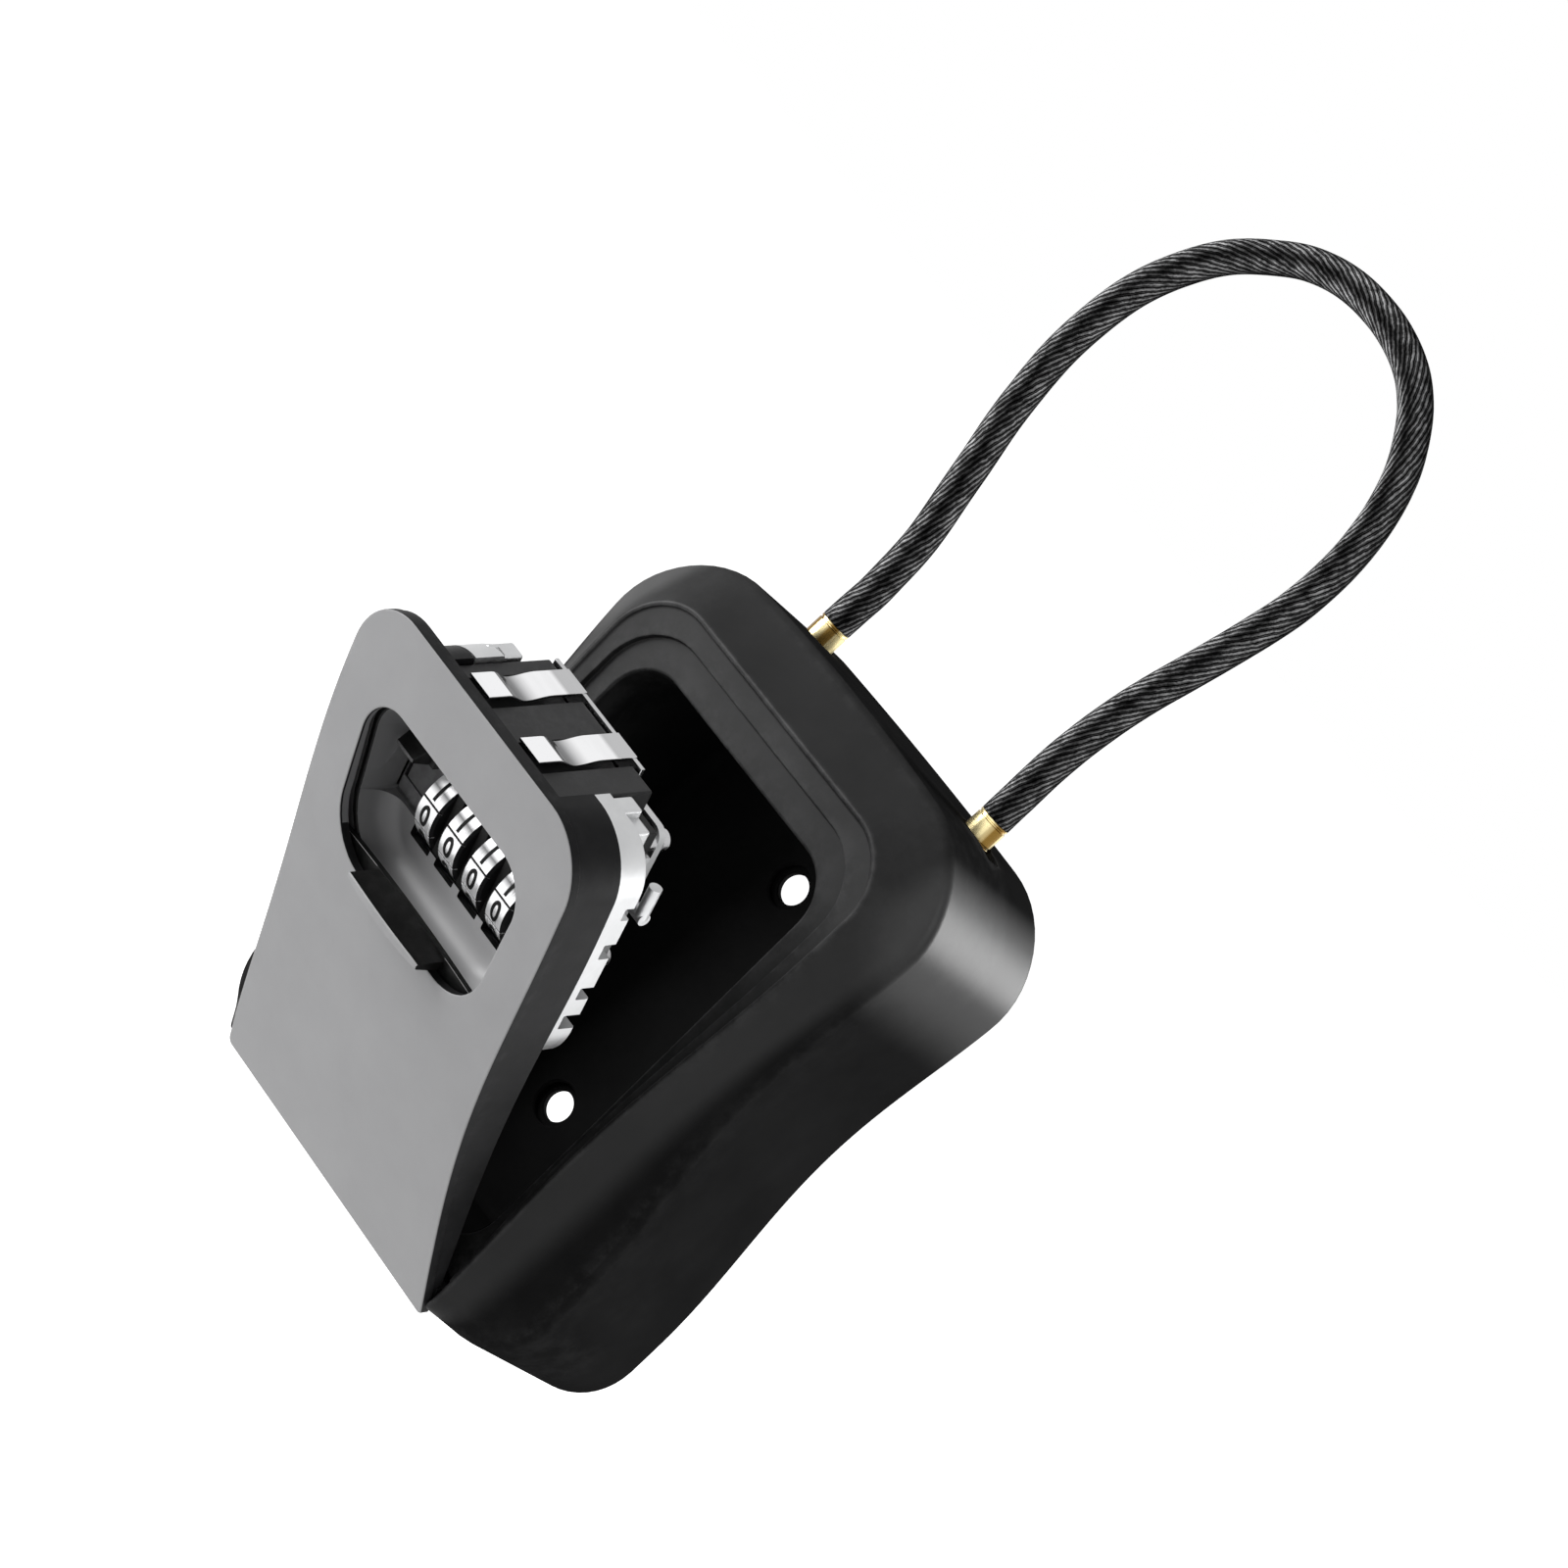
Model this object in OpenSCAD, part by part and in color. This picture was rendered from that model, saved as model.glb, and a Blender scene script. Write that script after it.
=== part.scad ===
// Portable key safe: a waisted metal case, a bottom-hinged code door with four dials,
// and a shackle of plastic-coated steel cable that plugs into the top of the case.
// Sizes are in millimetres. X runs to the right seen from the front and Z runs up.
// The flat back lies in the plane Y = 0 and the front looks along -Y. In this file
// "n" is the distance in front of the back, so y = -n. The origin is on the back face,
// midway between the two wall-screw holes. The door is drawn open, on its stop, and its
// pieces are written in the closed position and then swung about the hinge.

/* [Case] */
// Width of the case over its upper shoulders
case_w = 96; // [90:1:112]
// Height of the case, without the rise of its top edge
case_h = 120; // [114:1:140]
// Depth from the back face to the front rim, at the top
case_d = 45; // [43:0.5:54]
// How much shallower the front rim is at the bottom than at the top
front_drop = 6; // [3:0.5:8]
// Rise of the top edge in the middle
top_arch = 1.3; // [0:0.1:3]
// Extra half-width at the foot of the case
foot_flare = 1.7; // [0:0.1:3]
// How far each side draws in at the waist
waist_in = 4; // [1:0.5:6]
// Radius of the two upper corners
shoulder_r = 20; // [14:1:24]
// Radius of the two lower corners
foot_r = 14; // [10:1:18]
// Thickness of the back wall
back_wall = 3; // [2.4:0.1:4]
// Depth of the sloping bevel round the front
bevel_d = 8.6; // [5:0.2:11]
// Width of the bevel at the sides
bevel_w = 9.6; // [6:0.2:11]
// Width of the rim from the side of the case to the side of the door
rim_w = 13.7; // [12.5:0.1:16]
// Height of the rim above the door
top_rim = 13.8; // [12.5:0.1:18]
// Depth of the seat that the door closes into, at the top
seat_d = 1.5; // [1.2:0.1:2.5]
// How much deeper the seat is at the foot
seat_drop = 1.6; // [0:0.1:2.5]
// Width of the seat beside the key cavity
seat_w = 3.9; // [3:0.1:5]
// Height of the seat above the key cavity
seat_top = 5.8; // [5:0.1:8]

/* [Wall screws] */
// Distance between the two wall-screw holes
screw_pitch = 57; // [50:1:66]
// Radius of the through holes
screw_r = 3; // [2:0.1:3.2]
// Radius of the head recesses
screw_head_r = 4.2; // [3.8:0.1:5]
// Depth of the head recesses
screw_head_d = 1.4; // [1:0.1:2]

/* [Door] */
// Angle at which the door rests on its stop
door_open = 31.3; // [20:0.1:40]
// Gap between the door and its seat
door_gap = 0.35; // [0.25:0.05:0.6]
// How far the door face stands out from the rim, at the top
face_out = 8.5; // [7:0.1:11]
// Radius of the curve of the door face from top to bottom
face_r = 470; // [420:5:600]
// Height of the crown of that curve above the foot of the case
face_crown = 116; // [100:1:130]
// Thickness of the painted face plate
face_t = 1.8; // [1.6:0.1:2.2]
// Thickness of the walls of the door shell
shell_t = 2; // [1.6:0.1:2.4]
// Thickness of the door's rim above the lock, with the face plate
lip_t = 3; // [2.6:0.1:4]
// Radius of the two upper corners of the door
door_corner_r = 12; // [8:1:15]

/* [Hinge] */
// Radius of the hinge barrels
barrel_r = 2.4; // [2.2:0.1:2.8]
// Radius of the hinge pin
pin_r = 1.25; // [1:0.05:1.5]
// Width of the case's own barrel, between the two on the door
barrel_w = 50; // [36:1:54]

/* [Window and dials] */
// Width of the window on each side of the row of dials
window_side = 8.7; // [7.5:0.1:11]
// Height of the window
window_h = 31.6; // [30:0.2:34]
// Height of the window's lower edge above the middle of the case
window_z = -0.6; // [-2:0.2:0]
// Depth of the dish floor behind the front rim, beside the dials
dish_d = 1.8; // [1:0.1:3]
// How far the dials stand out of the dish floor
dial_stand = 1.8; // [1:0.1:2.4]
// Distance from dial to dial
dial_pitch = 7.9; // [7.6:0.1:8.2]
// Width of a dial
dial_w = 5.3; // [4.8:0.1:5.6]
// Radius of a dial
dial_r = 9; // [8.4:0.1:9.4]
// Radius of the spindle that carries the dials
spindle_r = 2; // [1.6:0.1:2.4]
// Height of the spindle above the middle of the case
spindle_z = 13.5; // [12:0.5:15]
// Travel of the sliding weather cover
cover_travel = 28; // [24:1:28]
// Width of the finger ramp on the weather cover
finger_w = 23; // [16:0.5:26]
// How far the finger ramp stands out from the cover
finger_out = 5.7; // [4:0.1:7]
// Travel of the opening slide
open_travel = 8; // [5:0.5:9]
// Travel of the latch behind the door
latch_travel = 1.2; // [0.6:0.1:1.4]

/* [Shackle] */
// Distance between the two legs of the shackle
leg_pitch = 51.5; // [44:0.5:54]
// Distance of the legs in front of the back face
leg_n = 15; // [13:0.5:18]
// Radius of the coated cable and of its ferrules
cable_r = 3.15; // [2.6:0.05:3.4]
// Travel that frees the shackle
shackle_lift = 9.5; // [8:0.5:10]
// Travel of the release slide while the shackle lifts
release_travel = 1.2; // [1:0.1:1.4]

/* [Hidden] */

$fn = 48;
// Number of dials
dial_count = 4;
// Gap between pieces that slide past each other
slip = 0.3;
// Radial clearance of a shaft in its hole
fit = 0.05;
// Length that a cut runs past the faces it opens
over = 1;
// Steps in each rounded corner, side and top edge of an outline
corner_steps = 8;
side_steps = 16;
top_steps = 6;

half_w = case_w / 2;
half_h = case_h / 2;
// The waist is a little above the middle on the case and below it on the door
case_mid = 5;
case_reach = 45;
door_mid = -20;
door_reach = 50;
door_waist = 2.3;

// Depth of the front rim at height z, and of the planes that run parallel to it
rim_slope = front_drop / case_h;
function rim_n(z) = case_d - rim_slope * (half_h - z);
seat_slope = rim_slope + seat_drop / case_h;
function seat_n(z) = case_d - seat_d - seat_slope * (half_h - z);

// The door, closed
door_hw = half_w - rim_w;
door_top = half_h - top_rim;
door_bot = -half_h - 0.3;
face_top_n = case_d + face_out;
face_mid_z = face_crown - half_h;
function face_n(z) = face_top_n - face_r + sqrt(face_r * face_r - pow(z - face_mid_z, 2));

// The key cavity
cavity_hw = door_hw - seat_w;
cavity_top = door_top - seat_top;
cavity_bot = -half_h + 10;
cavity_r = 9;

// The hinge, and the relief round it at the foot of the case
hinge_z = -half_h + 2.8;
hinge_n = face_n(hinge_z) - face_t - barrel_r - 0.4;
relief_z = hinge_z + barrel_r + 1.3;
relief_n = hinge_n - barrel_r - 0.6;

// The spindle sits so that the dials stand just out of the floor of the dish
dish_floor_n = rim_n(spindle_z) - dish_d;
dish_floor_t = 1.2;
spindle_n = dish_floor_n + dial_stand - dial_r;
dial_bore_r = spindle_r + 3;
dial_half = dial_count * dial_pitch / 2;
window_w = 2 * (dial_half + window_side);
// Half the length of a dial's slot, through the whole thickness of the floor
dial_slot_half = sqrt(pow(dial_r, 2) - pow(dial_r - dial_stand - dish_floor_t, 2)) + 0.9;

// The opening slide, left of the dials
open_x = -dial_half - 2.3;
open_slot_w = 7;
open_z = spindle_z + 6.7;
open_h = 4.2;

// The lock body behind the dish, and its head, which carries the latch tongues
lock_front_n = dish_floor_n - dish_floor_t - slip;
lock_back_n = spindle_n - dial_r - 2;
lock_top = cavity_top - 1.7;
lock_left = open_x - 6.4;
lock_right = dial_half + 2.7;
lock_foot = spindle_z - 12.5;
head_left = lock_left + 4;
head_right = lock_right - 5;
head_foot = lock_top - 4.7;
// Height of the upper pair of cover screws
upper_screw_z = spindle_z + 17;
latch_t = 0.9;
latch_n = lock_back_n - slip - latch_t;
latch_left = head_left + 0.7;
latch_right = head_right - 4.9;
cover_t = 1.3;
cover_n = latch_n - slip - cover_t;
tongue_w = 6.2;
tongue_x = [head_left + 6.8, head_right - 10.9];
tongue_t = 0.5;

// The tray that holds the lock. Above the dish it stops behind the inner wall of the shell.
tray_back_n = lock_front_n - 7;
tray_front_n = lock_front_n - 0.8;
tray_foot = -8;
lip_foot = cavity_top - 1.8;
lip_right = head_right + 6.5;

// The weather cover slides in a flat pocket that follows the chord of the door face
pocket_low = window_z - window_h + 1.2;
pocket_high = window_z + window_h;
pocket_t = 1.6;
pocket_w = window_w + 6;
pocket_n0 = face_n(pocket_low) - 0.9;
pocket_tilt = atan((face_n(pocket_high) - face_n(pocket_low)) / (pocket_high - pocket_low));
shutter_t = 1;
shutter_top = 2.6;

// The shackle's legs, and the keyhole slide that holds their beads
leg_x = leg_pitch / 2;
ferrule_top = half_h + 5.5;
ferrule_foot = half_h - 3;
neck_r = 1.9;
bead_r = 2.6;
bead_h = 2.4;
bay_top = half_h - 4.5;
bay_foot = cavity_top + 2.6;
bay_hw = leg_x + 7.5;
bay_n = leg_n + 5.5;
bead_foot = bay_foot + 0.6;
slide_t = 1.9;
slide_z = bay_top - slide_t - slip;
release_x = -8;
knob_w = 6;
bay_cover_t = 2;

// The cable's route in the plane of its legs: x, z. It is a free loop, so its points are
// chosen and not worked out.
cable_route = [
    [-25.75, 65.5], [-25.7, 70], [-25.6, 76], [-26.8, 87], [-30.4, 100.5], [-34, 114],
    [-35.8, 125.5], [-35.8, 135.5], [-34.2, 144.5], [-31, 152.2], [-26.6, 158.8],
    [-21, 164], [-13.8, 168.8], [-4.8, 171.6], [5.2, 171.8], [14.4, 169.6], [21.2, 165.8],
    [26.3, 160.8], [30.4, 154.8], [33.4, 147.3], [35, 138.2], [35, 129], [33.3, 119],
    [30.4, 107.5], [27.1, 94], [25.6, 80.5], [25.7, 70], [25.75, 65.5]
];
cable_sides = 8;

// ---- Shapes used by several pieces ----

// Draws a flat shape in X and Z, from n0 to n1 in front of the back
module slab(n0, n1) {
    rotate([90, 0, 0]) translate([0, 0, n0]) linear_extrude(n1 - n0) children();
}

// A box between two corners
module block(x0, x1, n0, n1, z0, z1) {
    translate([x0, -n1, z0]) cube([x1 - x0, n1 - n0, z1 - z0]);
}

// Round bars along X, along Z and from back to front
module bar_x(x0, x1, n, z, r) {
    translate([x0, -n, z]) rotate([0, 90, 0]) cylinder(r = r, h = x1 - x0);
}
module bar_z(x, n, z0, z1, r) {
    translate([x, -n, z0]) cylinder(r = r, h = z1 - z0);
}
module bar_n(x, z, n0, n1, r) {
    translate([x, -n0, z]) rotate([90, 0, 0]) cylinder(r = r, h = n1 - n0);
}

// A rectangle with true round corners
module round_rect(x0, x1, z0, z1, r) {
    translate([x0 + r, z0]) square([x1 - x0 - 2 * r, z1 - z0]);
    translate([x0, z0 + r]) square([x1 - x0, z1 - z0 - 2 * r]);
    for (x = [x0 + r, x1 - r], z = [z0 + r, z1 - r]) translate([x, z]) circle(r);
}

// Everything behind the plane of the seat, moved forward by a distance
module behind_seat(forward) {
    translate([0, -seat_n(0) - forward, 0])
        rotate([atan(seat_slope), 0, 0])
            translate([-100, 0, -100])
                cube([200, 200, 200]);
}

// The solid behind the door face, less a depth
module face_drum(depth) {
    bar_x(-70, 70, face_top_n - face_r, face_mid_z, face_r - depth, $fn = 720);
}

// How far a side is drawn in at height z, from 0 to 1
function draw_in(z, mid, reach) = abs(z - mid) < reach ? pow(cos(90 * (z - mid) / reach), 2) : 0;

// A closed waisted outline, anticlockwise from the lower right corner
function outline(top_hw, foot_hw, top, foot, top_r, low_r, waist, mid, reach, arch) =
    let (
        side_x = function(z) foot_hw + (top_hw - foot_hw) * (z - foot) / (top - foot),
        z0 = foot + low_r,
        z1 = top - top_r,
        right = concat(
            [for (i = [0:corner_steps]) let (a = 90 * i / corner_steps - 90)
                [foot_hw - low_r + low_r * cos(a), z0 + low_r * sin(a)]],
            [for (i = [1:side_steps - 1]) let (z = z0 + (z1 - z0) * i / side_steps) [side_x(z), z]],
            [for (i = [0:corner_steps]) let (a = 90 * i / corner_steps)
                [top_hw - top_r + top_r * cos(a), z1 + top_r * sin(a)]],
            [for (i = [1:top_steps - 1]) [(top_hw - top_r) * (1 - i / top_steps), top]]
        ),
        bent = [for (p = right) [
            p.x * (1 - waist * draw_in(p.y, mid, reach) / side_x(p.y)),
            p.y + (p.y > 0 ? arch * pow(p.y / top, 2) * (1 - pow(p.x / top_hw, 2)) : 0)
        ]]
    )
    concat(bent, [for (i = [len(bent) - 1:-1:0]) [-bent[i].x, bent[i].y]]);

// The sides and top draw in by the inset, and the foot by its own
function case_outline(inset, foot_inset) = outline(
    half_w - inset, half_w + foot_flare - inset, half_h - inset, -half_h + foot_inset,
    shoulder_r - inset, foot_r - inset, waist_in, case_mid, case_reach, top_arch
);

// The inner edge of the bevel
function bevel_outline() = outline(
    half_w - bevel_w, half_w - bevel_w - 2.6, half_h - bevel_w + 1, -half_h,
    12.8, 3, door_waist, door_mid, door_reach, 0
);

function door_outline(inset) = outline(
    door_hw - inset, door_hw + 0.2 - inset, door_top - inset, door_bot + inset,
    door_corner_r - inset, 1.2, door_waist, door_mid, door_reach, 0
);

// The middle of a ring of points
function middle(ring, i = 0) = i < len(ring) ? ring[i] / len(ring) + middle(ring, i + 1) : [0, 0, 0];

// A skin over a list of flat rings of 3D points, closed at both ends by fans from their middles
module loft(rings) {
    n = len(rings[0]);
    last = len(rings) - 1;
    polyhedron(
        concat([for (r = rings) each r], [middle(rings[0]), middle(rings[last])]),
        concat(
            [for (i = [0:n - 1]) [(last + 1) * n, i, (i + 1) % n]],
            [for (i = [0:n - 1]) [(last + 1) * n + 1, last * n + (i + 1) % n, last * n + i]],
            [for (k = [0:last - 1], i = [0:n - 1])
                let (a = k * n + i, b = a + n, c = (k + 1) * n + (i + 1) % n, d = c - n)
                each [[a, b, c], [a, c, d]]]
        )
    );
}

// Swings closed-door pieces to where the open door rests
module on_open_door() {
    translate([0, -hinge_n, hinge_z])
        rotate([door_open, 0, 0])
            translate([0, hinge_n, -hinge_z])
                children();
}

// Places pieces on the plane of the weather cover's pocket, whose front is y = 0
module on_pocket() {
    translate([0, -pocket_n0, pocket_low]) rotate([pocket_tilt, 0, 0]) children();
}

module window_shape(grow) {
    polygon(outline(
        window_w / 2 + grow, window_w / 2 - 1 + grow, window_z + window_h + grow, window_z - grow,
        8 + grow, 11 + grow, 0, 0, 1, 0
    ));
}

function dial_x(i) = (i - (dial_count - 1) / 2) * dial_pitch;

// ---- The case ----

module case_skin() {
    soft = 1.2;
    loft([
        [for (p = case_outline(soft, soft)) [p.x, 0, p.y]],
        [for (p = case_outline(0, 0)) [p.x, -soft, p.y]],
        [for (p = case_outline(0, 0)) [p.x, -(rim_n(p.y) - bevel_d - 0.6), p.y]],
        [for (p = case_outline(0.8, 0)) [p.x, -(rim_n(p.y) - bevel_d + 0.6), p.y]],
        [for (p = bevel_outline()) [p.x, -rim_n(p.y), p.y]]
    ]);
}

module shackle_sockets() {
    for (s = [-1, 1]) {
        bar_z(s * leg_x, leg_n, ferrule_foot, half_h + 4, cable_r + fit);
        bar_z(s * leg_x, leg_n, bay_top - over, ferrule_foot + over, bead_r + 0.15);
    }
    // The right-hand socket opens outwards, which leaves room for a finger under the ferrule
    block(leg_x - 3.2, leg_x + 9.8, leg_n - 3.4, leg_n + 3.4, half_h - 2.2, half_h + 4);
}

module release_bay() {
    block(-bay_hw, bay_hw, -over, bay_n, bay_foot, bay_top);
    block(-bay_hw - 3, bay_hw + 3, -over, bay_cover_t, bay_foot - 0.8, bay_top + 1);
    // Slot for the release knob, down into the key cavity
    block(
        release_x - knob_w / 2 - slip, release_x + knob_w / 2 + release_travel + slip,
        leg_n - 4, leg_n + 4, cavity_top - over, bay_foot + over
    );
    for (x = [-bay_hw - 1.5, bay_hw + 1.5], z = [bay_foot + 3.5])
        bar_n(x, z, bay_cover_t - over, bay_cover_t + 6, 0.8 + fit);
}

module case_shell() color([0.09, 0.09, 0.09]) {
    difference() {
        case_skin();
        // The seat for the door, open at the foot
        difference() {
            slab(relief_n - 2, case_d + 10) polygon(outline(
                door_hw + door_gap, door_hw + 0.2 + door_gap, door_top + door_gap, -half_h - 6,
                door_corner_r + door_gap, 1.2, door_waist, door_mid, door_reach, 0
            ));
            behind_seat(0);
        }
        slab(back_wall, case_d + 10)
            round_rect(-cavity_hw, cavity_hw, cavity_bot, cavity_top, cavity_r);
        block(-door_hw - 0.55, door_hw + 0.55, relief_n, case_d + 10, -half_h - 6, relief_z);
        for (z = [-screw_pitch / 2, screw_pitch / 2]) {
            bar_n(0, z, -over, back_wall + over, screw_r);
            bar_n(0, z, back_wall - screw_head_d, back_wall + over, screw_head_r);
        }
        shackle_sockets();
        release_bay();
    }
    // The middle barrel of the hinge, on its foot
    difference() {
        union() {
            bar_x(-barrel_w / 2, barrel_w / 2, hinge_n, hinge_z, barrel_r);
            block(
                -barrel_w / 2, barrel_w / 2, relief_n - 0.5, hinge_n,
                hinge_z - barrel_r, hinge_z + barrel_r
            );
        }
        bar_x(-barrel_w, barrel_w, hinge_n, hinge_z, pin_r + fit);
    }
}

module hinge_pin() color("silver")
    bar_x(-door_hw + 0.3, door_hw - 0.3, hinge_n, hinge_z, pin_r);

// ---- The shackle and its release ----

module release_cover() color([0.12, 0.12, 0.12])
    difference() {
        block(
            -bay_hw - 3 + slip / 2, bay_hw + 3 - slip / 2, 0, bay_cover_t,
            bay_foot - 0.8 + slip / 2, bay_top + 1 - slip / 2
        );
        for (x = [-bay_hw - 1.5, bay_hw + 1.5]) {
            bar_n(x, bay_foot + 3.5, -over, bay_cover_t + over, 1.1);
            bar_n(x, bay_foot + 3.5, -over, 0.9, 1.6);
        }
    }

module release_cover_screws() color("silver")
    for (x = [-bay_hw - 1.5, bay_hw + 1.5]) {
        bar_n(x, bay_foot + 3.5, 0.9, bay_cover_t + 4.5, 0.8);
        difference() {
            bar_n(x, bay_foot + 3.5, 0.1, 0.9, 1.45);
            block(x - 1.2, x + 1.2, -over, 0.5, bay_foot + 3.3, bay_foot + 3.7);
        }
    }

module release_slide() color("gainsboro") {
    x0 = -leg_x - 5.2;
    x1 = leg_x + 5;
    difference() {
        block(x0, x1, leg_n - 4.6, leg_n + 4.6, slide_z, slide_z + slide_t);
        for (s = [-1, 1]) {
            bar_z(s * leg_x - release_travel, leg_n, slide_z - over, slide_z + slide_t + over, bead_r + 0.4);
            bar_z(s * leg_x, leg_n, slide_z - over, slide_z + slide_t + over, neck_r + slip);
        }
    }
    block(
        release_x - knob_w / 2, release_x + knob_w / 2,
        leg_n - 3, leg_n + 3, cavity_top - 3.2, slide_z
    );
}

module ferrule(s) color([0.83, 0.63, 0.25]) {
    x = s * leg_x;
    bar_z(x, leg_n, ferrule_foot, ferrule_top, cable_r);
    bar_z(x, leg_n, bead_foot + bead_h, ferrule_foot, neck_r);
    bar_z(x, leg_n, bead_foot, bead_foot + bead_h, bead_r);
}
module ferrule_left() ferrule(-1);
module ferrule_right() ferrule(1);

// Direction of the route at point i
function route_dir(i) = let (
    a = cable_route[max(i - 1, 0)],
    b = cable_route[min(i + 1, len(cable_route) - 1)],
    d = b - a
) d / norm(d);

// A ring of the cable, square to its route
function cable_ring(i) = let (
    p = cable_route[i],
    d = (i == 0 || i == len(cable_route) - 1) ? [0, i == 0 ? 1 : -1] : route_dir(i)
) [for (k = [0:cable_sides - 1]) let (
    a = -360 * k / cable_sides,
    side = cable_r * cos(a)
) [p.x + side * d.y, -leg_n + cable_r * sin(a), p.y - side * d.x]];

module cable() color([0.12, 0.12, 0.12])
    loft([for (i = [0:len(cable_route) - 1]) cable_ring(i)]);

// ---- The door ----

// The space that the weather cover slides in
module shutter_pocket() {
    on_pocket() translate([-pocket_w / 2 - slip, 0, -slip])
        cube([pocket_w + 2 * slip, pocket_t, pocket_high - pocket_low + 2.4]);
}

module door_face() color([0.5, 0.5, 0.5])
    on_open_door() difference() {
        intersection() {
            slab(0, face_top_n + 5) polygon(door_outline(0));
            face_drum(0);
        }
        face_drum(face_t);
        slab(0, face_top_n + 5) window_shape(0);
        shutter_pocket();
    }

module door_barrels() {
    for (s = [-1, 1]) {
        x0 = s > 0 ? barrel_w / 2 + slip : -door_hw + 0.3;
        x1 = s > 0 ? door_hw - 0.3 : -barrel_w / 2 - slip;
        bar_x(x0, x1, hinge_n, hinge_z, barrel_r);
        block(x0, x1, hinge_n, face_n(hinge_z) - face_t - 0.6, hinge_z - barrel_r + 0.8, hinge_z + 2.8);
    }
}

module door_shell() color([0.07, 0.07, 0.07])
    on_open_door() difference() {
        union() {
            difference() {
                intersection() {
                    slab(0, face_top_n + 5) polygon(door_outline(0.3));
                    face_drum(face_t);
                }
                behind_seat(door_gap);
                // Hollow behind the skin
                intersection() {
                    slab(0, face_top_n + 5) polygon(door_outline(0.3 + shell_t));
                    face_drum(face_t + 2.8);
                }
                // Above the lock only a thin lip is left, which closes over the top of the seat
                intersection() {
                    block(-door_hw - over, lip_right, 0, face_top_n, lip_foot, door_top + over);
                    face_drum(lip_t);
                }
            }
            // Inner wall over the lock, which closes into the top of the key cavity
            intersection() {
                difference() {
                    slab(tray_front_n + slip, face_top_n) tray_shape(0);
                    slab(0, face_top_n + 5) tray_shape(1.8);
                }
                block(-cavity_hw, cavity_hw, 0, face_top_n, cavity_top - cavity_r - 1, cavity_top);
                face_drum(face_t + 0.6);
            }
            door_barrels();
        }
        block(head_left - slip, head_right + slip, 0, lock_front_n + 3.6 + slip, lock_foot, lock_top + over);
        // Room for the middle barrel of the hinge
        bar_x(-barrel_w / 2 - slip, barrel_w / 2 + slip, hinge_n, hinge_z, barrel_r + 0.4);
        block(
            -barrel_w / 2 - slip, barrel_w / 2 + slip, hinge_n - 6, hinge_n + barrel_r + 0.3,
            hinge_z - 6, hinge_z + barrel_r + 0.4
        );
        bar_x(-door_hw - over, door_hw + over, hinge_n, hinge_z, pin_r + fit);
        slab(0, face_top_n + 5) window_shape(1.1);
        shutter_pocket();
        rivet_holes();
    }

// The rivets through the sides of the shell and the flange of the tray inside it
rivet_z = -4;
rivet_n = seat_n(rivet_z) + 2.95;
rivet_x = door_hw - 2.2 - door_waist * draw_in(rivet_z, door_mid, door_reach);

module rivets(r, half_length) {
    for (s = [-1, 1])
        bar_x(s * rivet_x - half_length, s * rivet_x + half_length, rivet_n, rivet_z, r);
}
module rivet_holes() rivets(0.9 + fit, 4);

module door_pins() color("dimgray")
    on_open_door() rivets(0.9, 1.8);

module dial_slots(grow) {
    for (i = [0:dial_count - 1])
        block(
            dial_x(i) - dial_w / 2 - grow, dial_x(i) + dial_w / 2 + grow,
            dish_floor_n - 4, dish_floor_n + over,
            spindle_z - dial_slot_half, spindle_z + dial_slot_half
        );
}

module dial_dish() color([0.45, 0.45, 0.45])
    on_open_door() difference() {
        slab(dish_floor_n - dish_floor_t, face_top_n) window_shape(0.8);
        slab(dish_floor_n, face_top_n + 5) window_shape(-0.6);
        // Cut back to the pocket of the weather cover
        on_pocket() translate([-60, -60, -60]) cube([120, 60 + pocket_t + 0.1, 160]);
        dial_slots(0.3);
        block(
            open_x - open_slot_w / 2, open_x + open_slot_w / 2, dish_floor_n - 4, dish_floor_n + over,
            open_z - open_travel - 1.2, open_z + open_h + 0.4
        );
    }

module dial_shutter() color([0.05, 0.05, 0.05])
    on_open_door() on_pocket() {
        high = shutter_top - pocket_low;
        translate([-pocket_w / 2, slip, 0]) cube([pocket_w, shutter_t, high]);
        // The finger ramp stands out through the window
        translate([-finger_w / 2, 0, high]) rotate([90, 0, 90]) linear_extrude(finger_w) polygon([
            [slip, 0], [-finger_out, 0.3], [-finger_out, -1.2], [-1, -2.2], [slip, -2.2]
        ]);
    }

module opening_slide() color([0.05, 0.05, 0.05])
    on_open_door() {
        stem0 = open_x - open_slot_w / 2 + slip;
        stem1 = open_x + open_slot_w / 2 - slip;
        low = dish_floor_n + slip;
        // Thumb ledge
        translate([stem0 - 1.2, 0, open_z]) rotate([90, 0, 90]) linear_extrude(open_slot_w - 0.9) polygon([
            [-low - 1.4, 0.1], [-low - 4.4, 0], [-low - 4.4, 0.9], [-low - 1.4, open_h]
        ]);
        // Stem, foot and the arm back to the latch
        block(stem0, stem1, lock_front_n - slip, low + 1.5, open_z + 0.2, open_z + open_h - 0.2);
        block(
            open_x - 4.8, open_x + 3.1, lock_front_n - 2.9, lock_front_n - slip,
            open_z - open_travel - 0.5, open_z + 4.8
        );
        block(open_x - 4.5, open_x + 0.5, lock_back_n, lock_front_n - 2.9, open_z + 1.8, open_z + 4.8);
    }

// ---- The lock inside the door ----

module tongue_channels() {
    for (x = tongue_x)
        block(
            x - tongue_w / 2 - slip, x + tongue_w / 2 + slip, latch_n - 3, lock_front_n + 8,
            lock_top - 3.2, lock_top + over
        );
}

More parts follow.
